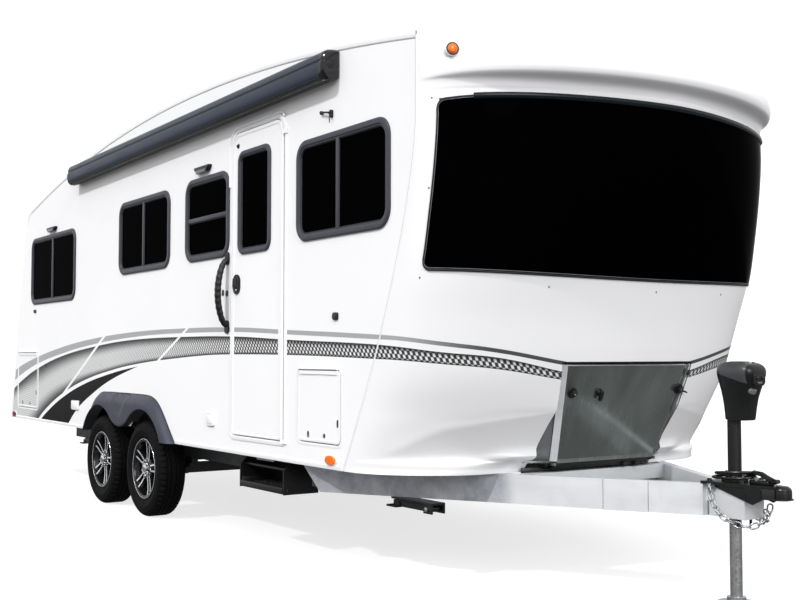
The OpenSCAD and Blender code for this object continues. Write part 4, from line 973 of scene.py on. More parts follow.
# ------------------------------------------------------------------ baggage doors
HATCH = {"front": (5.802, 0.659, 6.274, 1.062), "rear": (0.240, 0.641, 0.878, 1.163)}
for side, fr in wallsides():
    for place, (x0, z0, x1, z1) in HATCH.items():
        b = Build()
        b.add(ring((x0 + 0.006, z0 + 0.006, x1 - 0.006, z1 - 0.006), 0.032,
                   [(0.0005, 0.0020), (0.0008, 0.0032), (0.003, 0.0038), (0.014, 0.0038), (0.018, 0.0032), (0.019, 0.0026)], fr, 8), 0)
        # hinge strip along the top
        b.add(tube([fr(x, z1 + 0.004, 0.008) for x in np.linspace(x0 + 0.028, x1 - 0.028, 6)], 0.0054, 12), 0)
        b.add(tube([fr(x, z1 - 0.0035, 0.0088) for x in np.linspace(x0 + 0.030, x1 - 0.030, 6)], 0.0022, 8), 1)
        # two latches at the bottom
        for u, hx, hz in ((x0 + 0.28 * (x1 - x0), 0.0120, 0.0190), (x0 + 0.65 * (x1 - x0), 0.0130, 0.0130)):
            v = z0 + 0.046
            b.add(prism(stad(u, v, hx, hz, 10), 0.0028, 0.0062, fr, 0.0018, 2), 3)
            b.add(prism(stad(u, v + hz - hx, hx * 0.66, hx * 0.66, 8), 0.0058, 0.0078, fr, 0.0008, 1), 2)
            b.add(prism(stad(u, v + hz - hx, 0.0022, hx * 0.50, 5), 0.0074, 0.0108, fr, 0.0008, 1), 3)
        # lock slot near the edge
        b.add(prism(stad(x1 - 0.060 * (x1 - x0), z0 + 0.29 * (z1 - z0), 0.0070, 0.0215, 6), 0.0028, 0.0056, fr, 0.0012, 1), 2)
        b.out(f"hatch_{place}_{side}_trim", ["trim", "frame_in", "black", "chrome"], body=f"hatch_{place}_{side}", slot="white_panel")
        s = Build()
        s.add(ring((x0, z0, x1, z1), 0.038, [(-0.0010, 0.0003), (-0.0015, 0.0014), (-0.006, 0.0018), (-0.014, 0.0018), (-0.0175, 0.0003)], fr, 8), 0)
        s.out(f"hatch_{place}_{side}_surround", ["trim"], slot="white_panel")

# ------------------------------------------------------------------ awning
AX0, AX1 = 1.985, 6.255
AWN = [(0.0004, 2.6120), (0.0300, 2.6020), (0.0500, 2.5960), (0.0580, 2.5940), (0.0620, 2.5980), (0.0680, 2.5980), (0.0720, 2.5950), (0.0820, 2.5970), (0.0920, 2.6030),
       (0.1000, 2.6120), (0.1060, 2.6260), (0.1100, 2.6420), (0.1118, 2.6580), (0.1112, 2.6740), (0.1098, 2.6880), (0.1085, 2.6935), (0.1030, 2.6950), (0.1025, 2.7060),
       (0.1066, 2.7070), (0.1046, 2.7170), (0.1008, 2.7310), (0.0945, 2.7430), (0.0850, 2.7515), (0.0715, 2.7580), (0.0540, 2.7622), (0.0310, 2.7645), (0.0004, 2.7650)]


def awn_pt(x, z, o):
    """The case rises a little towards the front."""
    return right(x, z + 0.00925 * (x - 4.120), o)


def awning_run(x0, x1, n, grow=lambda t: 1.0):
    cy, cz = 0.045, 2.680
    pts = np.array([[awn_pt(x0 + (x1 - x0) * t, cz + (z - cz) * grow(t), max(0.0004, cy + (o - cy) * grow(t))) for o, z in AWN] for t in np.linspace(0, 1, n)])
    v, f = grid(pts, close_v=True)
    m = len(AWN)
    f.append(tuple(range(m))[::-1])
    f.append(tuple((n - 1) * m + k for k in range(m)))
    return v, f


def awn_line(z, o, r, flat=1.0):
    return tube([awn_pt(x, z, o) for x in np.linspace(AX0 + 0.026, AX1 - 0.052, 12)], r, 6, flat=flat)


b = Build()
# the faces of the underside take the black material: painted shade of the underside
b.add(awning_run(AX0 + 0.024, AX1 - 0.050, 14), [1 if j < 9 else 0 for i in range(13) for j in range(len(AWN))] + [0, 0])
# painted shade: dark filling of the groove and dark lines in the shadow gap along the bottom; painted highlight: the
# lighter lip of the lead rail
b.add(awn_line(2.7005, 0.1036, 0.0062, 0.40), 1)
b.add(awn_line(2.5960, 0.0650, 0.0042), 1)
b.add(awn_line(2.6110, 0.0995, 0.0026), 1)
b.add(awn_line(2.6035, 0.0925, 0.0018), 2)
b.out("awning_cassette", ["awn", "black", "frame"], slot="charcoal", replaces=["awning_case"], smooth=28)
b = Build()
cap_grow = lambda t: 1.012 if t < 0.55 else 1.012 - 0.16 * ((t - 0.55) / 0.45) ** 2.2
b.add(awning_run(AX1 - 0.049, AX1, 10, cap_grow), 0)
b.add(awning_run(AX0 + 0.023, AX0, 10, cap_grow), 1)
xf = lambda u, v, w: (AX1 - 0.001 + w, -(HW + u), v + 0.0198)
hexa = [(0.056 + 0.028 * math.cos(math.radians(60 * k)), 2.682 + 0.028 * math.sin(math.radians(60 * k))) for k in range(6)]
b.add(prism(hexa, -0.004, 0.004, xf, 0.0015, 2), 2)
b.add(prism(stad(0.056, 2.682, 0.010, 0.010, 8), 0.002, 0.007, xf, 0.0015, 2), 2)
b.add(prism([(0.018, 2.630), (0.090, 2.619), (0.094, 2.628), (0.020, 2.639)], -0.004, 0.003, xf, 0.001, 1), 2)
b.add(awning_run(AX1 - 0.0530, AX1 - 0.0495, 2, lambda t: 1.014), 3)
b.out("awning_end_caps", ["gloss", "awn", "black", "frame_in"], slot="black_plastic", replaces=["awning_ends"], smooth=30)

# ------------------------------------------------------------------ fenders
AXLE = {"front": 3.549, "rear": 2.661}
AXZ = 0.345 - LIFT
ARCH = 0.428


def fender_edges():
    """Matched points along the arches (inner) and the outline (outer)."""
    zb, vx, vz = 0.528, 3.105, 0.592
    th = math.asin((zb - AXZ) / ARCH)
    dv = math.asin((vz + 0.055 - AXZ) / ARCH)
    rear_a = [(AXLE["rear"] + ARCH * math.cos(t), AXZ + ARCH * math.sin(t)) for t in np.linspace(math.pi - th, dv, 40)]
    front_a = [(AXLE["front"] + ARCH * math.cos(t), AXZ + ARCH * math.sin(t)) for t in np.linspace(math.pi - dv, th, 40)]
    p, q = np.array(rear_a[-1]), np.array(front_a[0])
    vee = []
    for t in np.linspace(0, 1, 14)[1:-1]:
        c = np.array([vx, vz - 0.040])
        vee.append(tuple((1 - t) ** 2 * p + 2 * t * (1 - t) * c + t * t * q))
    inner = np.array(rear_a + vee + front_a)
    key_out = [(2.266, 0.528), (2.360, 0.640), (2.450, 0.742), (2.520, 0.808), (2.575, 0.836), (2.640, 0.846), (2.800, 0.8485), (3.105, 0.8495),
               (3.420, 0.8485), (3.560, 0.8465), (3.650, 0.840), (3.730, 0.818), (3.800, 0.780), (3.892, 0.700), (3.985, 0.612), (4.074, 0.528)]
    key_out = np.array(key_out)
    # dense outer line
    seg = np.linalg.norm(np.diff(key_out, axis=0), axis=1)
    cum = np.concatenate([[0], np.cumsum(seg)])
    li = np.linalg.norm(np.diff(inner, axis=0), axis=1)
    ci = np.concatenate([[0], np.cumsum(li)])
    # matching marks: bottom, rear crown, vee, front crown, bottom
    def mark_in(x):
        return ci[np.argmin(np.abs(inner[:, 0] - x) + np.where(inner[:, 1] < 0.60, 5.0 if x not in (vx,) else 0.0, 0.0))]
    marks_i = [0, mark_in(AXLE["rear"]), mark_in(vx), mark_in(AXLE["front"]), ci[-1]]
    def mark_out(x):
        top = key_out[:, 1] > 0.84
        return float(np.interp(x, key_out[top, 0], cum[top]))
    marks_o = [0, mark_out(2.655), mark_out(vx), mark_out(3.555), cum[-1]]
    so = np.interp(ci, marks_i, marks_o)
    outer = np.stack([np.interp(so, cum, key_out[:, 0]), np.interp(so, cum, key_out[:, 1])], 1)
    for _ in range(3):
        outer[1:-1] = 0.25 * outer[:-2] + 0.5 * outer[1:-1] + 0.25 * outer[2:]
    return inner, outer


F_IN, F_OUT = fender_edges()


def make_fender(side, fr):
    t_list = [0.0, 0.0, 0.015, 0.04, 0.08, 0.13, 0.19, 0.26, 0.34, 0.43, 0.52, 0.61, 0.70, 0.78, 0.85, 0.91, 0.955, 0.985, 1.0, 1.0, 1.0, 1.0]
    w_list = [0.0004, 0.004, 0.009, 0.016, 0.024, 0.032, 0.0385, 0.044, 0.048, 0.0505, 0.052, 0.0528, 0.0532, 0.0535, 0.0536, 0.0538, 0.0540, 0.0530, 0.0490, 0.0440, 0.0200, 0.0004]
    n = len(F_IN)
    pts = np.zeros((len(t_list), n, 3))
    for k in range(n):
        width = float(np.linalg.norm(F_IN[k] - F_OUT[k]))
        for i, (t, w) in enumerate(zip(t_list, w_list)):
            p = F_OUT[k] * (1 - t) + F_IN[k] * t
            ww = w
            if 0 < t < 1:
                # shoulder keeps its size whatever the width of the panel
                d = t * width
                ww = 0.0538 * (1 - (1 - min(1.0, (d + 0.004) / 0.085)) ** 2.4) if t < 0.97 else w
                # pressed triangle between the arches
                a = abs(p[0] - 3.105)
                lim = 0.165 * np.clip((p[1] - 0.665) / 0.165, 0, 1)
                ww -= 0.010 * float(smooth01((lim - a) / 0.022)) * float(smooth01((p[1] - 0.67) / 0.03))
                ww = max(ww, 0.004)
            if i >= len(t_list) - 3:
                out = (F_IN[k] - F_OUT[k]) / max(width, 1e-6)
                p = p - out * 0.006
            pts[i, k] = fr(p[0], p[1], ww)
    v, f = grid(pts)
    m = len(t_list)
    f.append(tuple(i * n for i in range(m)))
    f.append(tuple(i * n + n - 1 for i in range(m))[::-1])
    # back against the wall
    for k in range(n - 1):
        f.append((k, k + 1, (m - 1) * n + k + 1, (m - 1) * n + k))
    b = Build().add((v, f), 0)
    # mounting screws around the edge
    for i in (6, 14, 24, 34, 41, 46, 51, 58, 66, 74, 82):
        i = min(i, n - 1)
        c = F_OUT[i] * 0.94 + F_IN[i] * 0.06
        wdt = float(np.linalg.norm(F_IN[i] - F_OUT[i]))
        w0 = 0.0538 * (1 - (1 - min(1.0, (0.06 * wdt + 0.004) / 0.085)) ** 2.4) - 0.002
        b.add(dome(fr, c[0], c[1], 0.0062, 0.0035, 12, 3, w0), 1)
    # dark liner inside the arches, over the cut edge of the wall
    ln = []
    for k in range(n):
        d = (F_IN[k] - F_OUT[k]) / max(float(np.linalg.norm(F_IN[k] - F_OUT[k])), 1e-6)
        ln.append([fr(*(F_IN[k] + d * q), w) for q, w in ((0.0004, 0.0500), (0.0030, 0.0480), (0.0030, -0.0430), (0.0004, -0.0430))])
    lv, lf = grid(np.array(ln), close_v=True)
    lf = list(lf) + [(0, 1, 2, 3), tuple((n - 1) * 4 + q for q in (3, 2, 1, 0))]
    b.add((lv, lf), 2)
    # rubber edge along the outline
    edge = [fr(p[0], p[1], 0.0022) for p in F_OUT]
    b.add(tube(edge, 0.0045, 6), 2)
    b.out(f"fender_{side}_shell", ["char", "frame", "gasket"], slot="charcoal", replaces=[f"fender_{side}"], smooth=44)


for side, fr in wallsides():
    make_fender(side, fr)

# ------------------------------------------------------------------ tyres and rims
WY = 1.148
SIDE = [(0.0740, 0.2040), (0.0790, 0.2110), (0.0830, 0.2190), (0.0862, 0.2265), (0.0905, 0.2330), (0.0925, 0.2350), (0.0925, 0.2385), (0.0950, 0.2460),
        (0.0985, 0.2580), (0.1010, 0.2690), (0.1020, 0.2780), (0.1032, 0.2790), (0.1032, 0.2835), (0.1024, 0.2850), (0.1019, 0.2950), (0.1005, 0.3030),
        (0.0985, 0.3110), (0.0985, 0.3135), (0.0955, 0.3190), (0.0905, 0.3260), (0.0850, 0.3320)]
TREAD_H = np.linspace(0.0800, -0.0800, 61)


def make_tyre(place, side, sgn):
    n = 288
    left_half = [(r, h) for h, r in SIDE]
    tread = []
    for h in TREAD_H:
        a = abs(h)
        r = 0.345 - 0.0085 * max(0.0, (a - 0.052) / 0.028) ** 2.0
        tread.append((r, h))
    prof = left_half + tread + [(r, -h) for r, h in left_half[::-1]]
    prof = np.array(prof)
    nprof = len(prof)
    ang = np.arange(n) * 2 * math.pi / n
    R = np.repeat(prof[:, 0][:, None], n, 1)
    H = np.repeat(prof[:, 1][:, None], n, 1)
    k0, k1 = len(left_half), len(left_half) + len(tread)
    pitch = np.arange(n) % 6
    for i in range(k0, k1):
        h = prof[i, 1]
        a = abs(h)
        groove = (abs(a - 0.0180) < 0.0040) or (abs(a - 0.0480) < 0.0045)
        if groove:
            R[i] -= 0.0080
            continue
        if a > 0.0525:
            cut = (pitch + (3 if h > 0 else 0)) % 6 < 2
            R[i] -= np.where(cut, 0.0070, 0.0)
        elif a > 0.0225:
            shift = int(round(a * 260)) + (2 if h > 0 else 0)
            cut = (pitch + shift) % 6 < 1
            R[i] -= np.where(cut, 0.0055, 0.0)
        else:
            shift = int(round((h + 0.05) * 240))
            cut = (pitch + shift) % 6 < 1
            R[i] -= np.where(cut, 0.0045, 0.0)
    # shoulder lugs on the upper sidewall
    for i in (k0 - 3, k0 - 2, k0 - 1):
        R[i] -= np.where((pitch + 3) % 6 < 2, 0.0035, 0.0)
    for i in (k1, k1 + 1, k1 + 2):
        R[i] -= np.where(pitch % 6 < 2, 0.0035, 0.0)
    ax = AXLE[place]
    P = np.stack([ax + R * np.cos(ang)[None, :], sgn * WY + sgn * H, AXZ + R * np.sin(ang)[None, :]], -1)
    v, f = grid(P, close_u=True, close_v=True)
    Build().add((v, f)).out(f"tyre_{place}_{side}_tread", ["tyre"], body=f"wheel_{place}_{side}", slot="tyre",
                            replaces=[f"tyre_{place}_{side}"], smooth=32)


def make_rim(place, side, sgn):
    ax = AXLE[place]
    c = (ax, sgn * WY, AXZ)
    b = Build()
    # barrel with the well, black; front lip, machined
    b.add(lathe([(0.1935, 0.0800), (0.2000, 0.0780), (0.2025, 0.0720), (0.1960, 0.0500), (0.1850, 0.0200), (0.1850, -0.0300), (0.1960, -0.0600),
                 (0.2030, -0.0760), (0.2150, -0.0830), (0.2180, -0.0890), (0.2120, -0.0900), (0.1930, -0.0840), (0.1880, -0.0500), (0.1790, -0.0300),
                 (0.1790, 0.0200), (0.1880, 0.0500), (0.1935, 0.0800)], 72, c, "y", sgn), 0)
    b.add(lathe([(0.1935, 0.0800), (0.1950, 0.0862), (0.2010, 0.0885), (0.2110, 0.0900), (0.2165, 0.0902), (0.2190, 0.0885), (0.2185, 0.0850),
                 (0.2120, 0.0835), (0.2000, 0.0780), (0.1935, 0.0800)], 72, c, "y", sgn), 0)
    b.add(lathe([(0.2120, 0.0899), (0.2127, 0.0910), (0.2146, 0.0911), (0.2154, 0.0901), (0.2120, 0.0899)], 72, c, "y", sgn), 1)
    # centre with the bolt circle
    b.add(lathe([(0.0, 0.030), (0.076, 0.030), (0.080, 0.040), (0.080, 0.056), (0.077, 0.0610), (0.070, 0.0630), (0.048, 0.0630), (0.044, 0.0600), (0.0, 0.0600)], 48, c, "y", sgn), 0)
    # spokes in pairs
    def loc(r, t, h, th):
        x = r * math.cos(th) - t * math.sin(th)
        z = r * math.sin(th) + t * math.cos(th)
        return (ax + x, sgn * (WY + h), AXZ + z)
    turn = math.radians(77 if place == "front" else 70)
    for k in range(5):
        th = turn + k * 2 * math.pi / 5
        for q in (-1, 1):
            lst = []
            for r, t0, wd, hf, hb in ((0.066, 0.0180, 0.0068, 0.0640, 0.030), (0.105, 0.0210, 0.0070, 0.0660, 0.034), (0.150, 0.0240, 0.0072, 0.0705, 0.040), (0.1950, 0.0275, 0.0076, 0.0800, 0.050)):
                t0 *= q
                lst.append([loc(r, t0 - wd - 0.002, hb, th), loc(r, t0 - wd, hf - 0.003, th), loc(r, t0 - wd + 0.0012, hf, th),
                            loc(r, t0 + wd - 0.0012, hf, th), loc(r, t0 + wd, hf - 0.003, th), loc(r, t0 + wd + 0.002, hb, th)])
            v, f = grid(np.array(lst), close_v=True)
            f += [tuple(range(6))[::-1], tuple(18 + i for i in range(6))]
            mat = []
            for i in range(3):
                mat += [0, 0, 1, 0, 0, 0]
            mat += [0, 0]
            b.add((v, f), mat)
        # round end of the pocket at the hub
        b.add(tube([loc(0.072 - 0.014 * math.cos(q), 0.0180 * math.sin(q), 0.0615, th) for q in np.linspace(-1.45, 1.45, 11)], 0.0045, 8), 1)
        # black web between the pair, with a rib
        web = np.array([[loc(r, t, h, th) for t in (-t0, -t0 * 0.5, 0, t0 * 0.5, t0)] for r, t0, h in ((0.068, 0.013, 0.050), (0.105, 0.015, 0.050), (0.150, 0.017, 0.052), (0.193, 0.019, 0.058))])
        web2 = web.copy()
        web2[..., 1] -= sgn * 0.010
        v1, f1 = grid(web)
        v2, f2 = grid(web2)
        nn = len(v1)
        f = list(f1) + [tuple(i + nn for i in q[::-1]) for q in f2]
        rim_i = [0, 1, 2, 3, 4, 9, 14, 19, 18, 17, 16, 15, 10, 5]
        for i in range(len(rim_i)):
            p, q = rim_i[i], rim_i[(i + 1) % len(rim_i)]
            f.append((p, q, q + nn, p + nn))
        b.add((np.concatenate([v1, v2]), f), 0)
    # lug nuts and centre cap
    for k in range(6):
        t = turn + k * math.pi / 3
        cc = (ax + 0.0585 * math.cos(t), sgn * WY, AXZ + 0.0585 * math.sin(t))
        b.add(lathe([(0.0, 0.060), (0.0105, 0.060), (0.0105, 0.076), (0.0085, 0.0810), (0.0045, 0.0840), (0.0, 0.0845)], 6, cc, "y", sgn, t), 2)
        b.add(lathe([(0.0, 0.058), (0.0125, 0.058), (0.0125, 0.0645), (0.0, 0.0645)], 16, cc, "y", sgn), 2)
    b.add(lathe([(0.0, 0.055), (0.0420, 0.055), (0.0420, 0.070), (0.0395, 0.0850), (0.0360, 0.0880), (0.0300, 0.0870), (0.0270, 0.0885), (0.0180, 0.0905), (0.0, 0.0912)], 36, c, "y", sgn), 2)
    # hub and brake drum behind
    b.add(lathe([(0.0, -0.0760), (0.1230, -0.0760), (0.1280, -0.0720), (0.1280, -0.0500), (0.1300, -0.0490), (0.1300, -0.0440), (0.1280, -0.0430), (0.1280, -0.0200), (0.1240, -0.0160),
                 (0.0700, -0.0130), (0.0580, 0.0), (0.0560, 0.0310), (0.0, 0.0310)], 48, c, "y", sgn), 3)
    # valve stem
    t = turn + math.radians(36)
    b.add(tube([(ax + r * math.cos(t), sgn * (WY + h), AXZ + r * math.sin(t)) for r, h in ((0.188, 0.062), (0.183, 0.072), (0.176, 0.080))], 0.0042, 8), 4)
    b.out(f"rim_{place}_{side}_alloy", ["gloss", "mach", "chrome", "drum", "black"], body=f"wheel_{place}_{side}", slot="rim",
          replaces=[f"rim_{place}_{side}"], smooth=30)


for place in AXLE:
    for side, sgn in (("right", -1), ("left", 1)):
        make_tyre(place, side, sgn)
        make_rim(place, side, sgn)

# ------------------------------------------------------------------ tongue: jack, coupler fittings, chains
JX = 7.853
b = Build()
b.add(lathe([(0.0288, 0.390), (0.0300, 0.388), (0.0318, 0.390), (0.0320, 0.394), (0.0320, 0.560), (0.0320, 0.700), (0.0320, 0.838), (0.0288, 0.838), (0.0288, 0.390)], 40, (JX, 0, 0), "z"), 0)
b.add(lathe([(0.0321, 0.5447), (0.0600, 0.5447), (0.0620, 0.5465), (0.0620, 0.5550), (0.0600, 0.5568), (0.0400, 0.5580), (0.0345, 0.5640), (0.0321, 0.5700), (0.0321, 0.5447)], 40, (JX, 0, 0), "z"), 0)
for k in range(3):
    t = math.radians(60 + 120 * k)
    b.add(lathe([(0.0, 0.556), (0.0090, 0.556), (0.0090, 0.563), (0.0070, 0.565), (0.0, 0.565)], 6, (JX + 0.050 * math.cos(t), 0.050 * math.sin(t), 0), "z"), 2)
# power head: loft of rounded sections
sec = [(0.836, 0.037, 0.060, 0.046), (0.840, 0.037, 0.065, 0.050), (0.860, 0.038, 0.0675, 0.0515), (0.900, 0.039, 0.0715, 0.055), (0.940, 0.040, 0.0775, 0.060), (0.975, 0.042, 0.0855, 0.067),
       (1.005, 0.044, 0.0935, 0.074), (1.030, 0.0455, 0.1005, 0.080), (1.050, 0.046, 0.1045, 0.084), (1.066, 0.046, 0.1055, 0.085), (1.080, 0.045, 0.1025, 0.0825),
       (1.092, 0.043, 0.095, 0.0765), (1.102, 0.040, 0.082, 0.066), (1.109, 0.036, 0.062, 0.050), (1.1125, 0.034, 0.032, 0.026)]
n = 56
pts = []
for z, cx, hx, hy in sec:
    row = []
    for k in range(n):
        t = 2 * math.pi * k / n
        cs, sn = math.cos(t), math.sin(t)
        e = 2 / 3.6
        row.append((JX + cx + hx * abs(cs) ** e * (1 if cs >= 0 else -1), hy * abs(sn) ** e * (1 if sn >= 0 else -1), z))
    pts.append(row)
pts = np.array(pts)
v, f = grid(pts, close_v=True)
f = list(f) + [tuple(range(n))[::-1], tuple((len(sec) - 1) * n + k for k in range(n))]
b.add((v, f), 1)
jf = lambda u, v_, w: (JX + 0.142 + w, u, v_)
b.add(prism(rr(-0.040, 1.000, 0.040, 1.062, 0.014), -0.010, 0.0095, jf, 0.004, 3), 0)
b.add(prism(stad(0.0, 0.975, 0.026, 0.016, 8), -0.020, 0.004, lambda u, v_, w: (JX + 0.126 + w, u - 0.020, v_), 0.004, 3), 3)
for u in (-0.020, 0.020):
    b.add(prism(stad(u, 1.036, 0.009, 0.009, 6), 0.008, 0.0135, jf, 0.002, 2), 4)
b.add(prism(stad(0.0, 1.013, 0.016, 0.005, 6), 0.008, 0.0125, jf, 0.0015, 2), 3)
b.add(prism(rr(JX + 0.080, -0.020, JX + 0.116, 0.020, 0.012), 1.095, 1.1085, floorfr, 0.003, 2), 4)
b.add(lathe([(0.0, 1.100), (0.0075, 1.100), (0.0075, 1.1075), (0.0, 1.1085)], 16, (JX + 0.108, -0.012, 0), "z"), 5)
# seam of the housing
b.add(tube([(JX + 0.0455 + 0.1012 * math.cos(t), 0.0805 * math.sin(t), 1.030 - 0.012 * math.cos(t)) for t in np.linspace(0, 2 * math.pi, 60)[:-1]], 0.0016, 5, closed=True), 4)
b.out("tongue_jack_drive", ["black", "jack", "galv", "lens", "gloss", "clear"], slot="black_plastic", replaces=["tongue_jack"], smooth=36)

b = Build()
# ball housing dome and its lip
b.add(lathe([(0.0432, 0.4865), (0.0436, 0.4960), (0.0436, 0.5180), (0.0426, 0.5290), (0.0385, 0.5385), (0.0300, 0.5445), (0.0150, 0.5480), (0.0, 0.5490)], 40, (8.117, 0, 0), "z"), 0)
for sgn in (-1, 1):
    q = [(8.030, 0.0745), (8.10, 0.0600), (8.146, 0.0470), (8.159, 0.0240), (8.1605, 0.0), (8.1565, 0.0), (8.1470, 0.0305), (8.117, 0.0436), (8.0865, 0.0430), (8.045, 0.0520)]
    b.add(prism([(x, sgn * y) for x, y in q], 0.4845, 0.4900, floorfr, 0.0015, 2), 0)
    # folded skirt from the flange to the housing
    q = [(8.046, 0.0772), (8.082, 0.0610), (8.112, 0.0478), (8.110, 0.0444), (8.080, 0.0568), (8.046, 0.0730)]
    b.add(prism([(x, sgn * y) for x, y in q], 0.4860, 0.5320, floorfr, 0.0012, 2), 0)
# latch: channel, lever and pivot pin
b.add(rbox((7.952, -0.026, 0.5442), (8.060, 0.026, 0.5640), 0.005, 3), 0)
lev = np.array([(7.930, 0, 0.582), (7.965, 0, 0.596), (8.005, 0, 0.592), (8.045, 0, 0.574), (8.080, 0, 0.562), (8.098, 0, 0.566)])
b.add(tube(lev, [0.010, 0.011, 0.0115, 0.012, 0.012, 0.010], 10, flat=1.5), 0)
b.add(tube([(8.010, -0.040, 0.572), (8.010, 0.040, 0.572)], 0.006, 12), 1)
for y in (-0.040, 0.040):
    b.add(lathe([(0.0, -0.004), (0.0095, -0.004), (0.0095, 0.004), (0.0, 0.004)], 6, (8.010, y, 0.572), "y"), 1)
# ring of folded steel round the jack base
t_ = np.linspace(0, 2 * math.pi, 49)[:-1]
b.add(tube([(JX + 0.006 + 0.098 * math.cos(t), 0.080 * math.sin(t), 0.586 + 0.010 * math.cos(t + 0.6)) for t in t_], 0.0075, 8, closed=True), 0)
b.add(tube([(JX - 0.004 + 0.112 * math.cos(t), 0.070 * math.sin(t), 0.566 + 0.006 * math.cos(t - 0.4)) for t in t_], 0.0065, 8, closed=True), 0)
for k in range(3):
    t = 0.5 + 2.1 * k
    b.add(tube([(JX + 0.034 * math.cos(t), 0.034 * math.sin(t), 0.574), (JX + 0.064 * math.cos(t), 0.056 * math.sin(t), 0.574), (JX + 0.100 * math.cos(t), 0.080 * math.sin(t), 0.584)], 0.0058, 8), 0)
# bolts through the plate
for x, y in ((7.760, -0.070), (7.760, 0.070), (7.935, -0.055), (7.935, 0.055)):
    b.add(lathe([(0.0, 0.5440), (0.0170, 0.5440), (0.0170, 0.5465), (0.0, 0.5465)], 20, (x, y, 0), "z"), 0)
    b.add(lathe([(0.0, 0.5460), (0.0120, 0.5460), (0.0120, 0.5545), (0.0100, 0.5565), (0.0, 0.5565)], 6, (x, y, 0), "z"), 0)
b.out("coupler_fittings", ["steel", "galv"], slot="black_steel", smooth=36)


def link(centre, ax_t, ax_n, ln=0.050, wd=0.031, wire=0.0038):
    t = np.array(ax_t, float)
    t /= np.linalg.norm(t)
    nn = np.array(ax_n, float)
    nn -= t * nn.dot(t)
    nn /= np.linalg.norm(nn)
    r = wd / 2 - wire
    s = ln / 2 - wire - r
    loop = []
    for k in range(7):
        q = math.pi * k / 6 - math.pi / 2
        loop.append((s + r * math.cos(q), r * math.sin(q)))
    for k in range(7):
        q = math.pi * k / 6 + math.pi / 2
        loop.append((-s + r * math.cos(q), r * math.sin(q)))
    return tube([np.array(centre) + a * t + c * nn for a, c in loop], wire, 7, closed=True)


def chain(b, keys, pitch=0.0385):
    k = np.array(keys, float)
    # smooth path through the keys
    m = len(k)
    dense = []
    for i in range(m - 1):
        p0, p1, p2, p3 = k[max(i - 1, 0)], k[i], k[i + 1], k[min(i + 2, m - 1)]
        for t in np.linspace(0, 1, 24, endpoint=False):
            dense.append(0.5 * (2 * p1 + (p2 - p0) * t + (2 * p0 - 5 * p1 + 4 * p2 - p3) * t * t + (3 * p1 - p0 - 3 * p2 + p3) * t ** 3))
    dense.append(k[-1])
    d = np.array(dense)
    cum = np.concatenate([[0], np.cumsum(np.linalg.norm(np.diff(d, axis=0), axis=1))])
    cnt = int(cum[-1] / pitch)
    for i in range(cnt + 1):
        s = i * pitch
        p = np.array([np.interp(s, cum, d[:, j]) for j in range(3)])
        q = np.array([np.interp(min(s + 0.01, cum[-1]), cum, d[:, j]) - np.interp(max(s - 0.01, 0), cum, d[:, j]) for j in range(3)])
        side = np.cross(q, (0, 0, 1.0)) if abs(q[2]) < 0.97 * np.linalg.norm(q) else np.array([0, 1.0, 0])
        up = np.cross(side, q)
        b.add(link(p, q, side if i % 2 else up), 0)


b = Build()
chain(b, [(7.785, -0.106, 0.512), (7.800, -0.108, 0.470), (7.828, -0.108, 0.425), (7.870, -0.103, 0.385), (7.930, -0.093, 0.361), (7.990, -0.068, 0.354),
          (8.030, -0.030, 0.378), (8.045, 0.000, 0.425), (8.035, 0.020, 0.462)])
chain(b, [(7.785, 0.106, 0.512), (7.802, 0.107, 0.466), (7.835, 0.105, 0.418), (7.880, 0.098, 0.380), (7.938, 0.085, 0.362), (7.985, 0.058, 0.372), (8.010, 0.030, 0.404), (8.014, 0.004, 0.444)])
for sgn in (-1, 1):
    # eye bolts in the tip block, with nut and washer, and the stud below
    b.add(tube([(7.785, sgn * (0.078 + o), 0.516 + h) for o, h in ((0.0, 0.014), (0.014, 0.018), (0.025, 0.012), (0.029, 0.0), (0.025, -0.012), (0.014, -0.018), (0.0, -0.012))], 0.0052, 8), 0)
    b.add(lathe([(0.0, 0.0), (0.016, 0.0), (0.016, 0.004), (0.0, 0.004)], 18, (7.785, sgn * 0.0768, 0.517), "y", sgn), 0)
    b.add(lathe([(0.0, 0.340), (0.0070, 0.340), (0.0070, 0.372), (0.0125, 0.372), (0.0125, 0.3795), (0.0, 0.3795)], 6, (7.905, sgn * 0.045, 0), "z"), 1)
b.out("safety_chains", ["galv", "steel"], slot="galvanised", smooth=60)

# weld beads and butt joints on the tongue beams
b = Build()


def beam_y(x):
    return 0.093 + (7.746 - x) * math.tan(math.radians(30))


BD = np.array([math.cos(math.radians(30)), -math.sin(math.radians(30))])
for sgn in (-1, 1):
    for x in (7.320, 7.515):
        y = beam_y(x)
        o = np.array([x, sgn * (y + 0.0004)])
        b.add(tube([(o[0], o[1], z) for z in np.linspace(0.382, 0.528, 16)], 0.0012, 6), 0)
    # reinforcing sleeve between the joints
    xa, xb = 7.325, 7.510
    q = [(xa, sgn * (beam_y(xa) + 0.0002)), (xb, sgn * (beam_y(xb) + 0.0002)), (xb + 0.0015, sgn * (beam_y(xb) + 0.0014)), (xa + 0.0015, sgn * (beam_y(xa) + 0.0014))]
    b.add(prism(q, 0.3785, 0.5295, floorfr, 0.0), 1)
    # fillet weld of beam to tip block
    b.add(tube([(7.752, sgn * 0.0720, z) for z in np.linspace(0.384, 0.450, 10)], 0.0045, 6), 0)
b.out("tongue_welds", ["aludark", "beam"], slot="alu_frame")

# ------------------------------------------------------------------ nose box fittings
LAM = math.atan2(186, 514)
CN, SN = math.cos(LAM), math.sin(LAM)


def nose(u, v, w):
    return (6.9792 + v * SN + w * CN, u, 0.582 + v * CN - w * SN)


b = Build()
VT = 0.5466
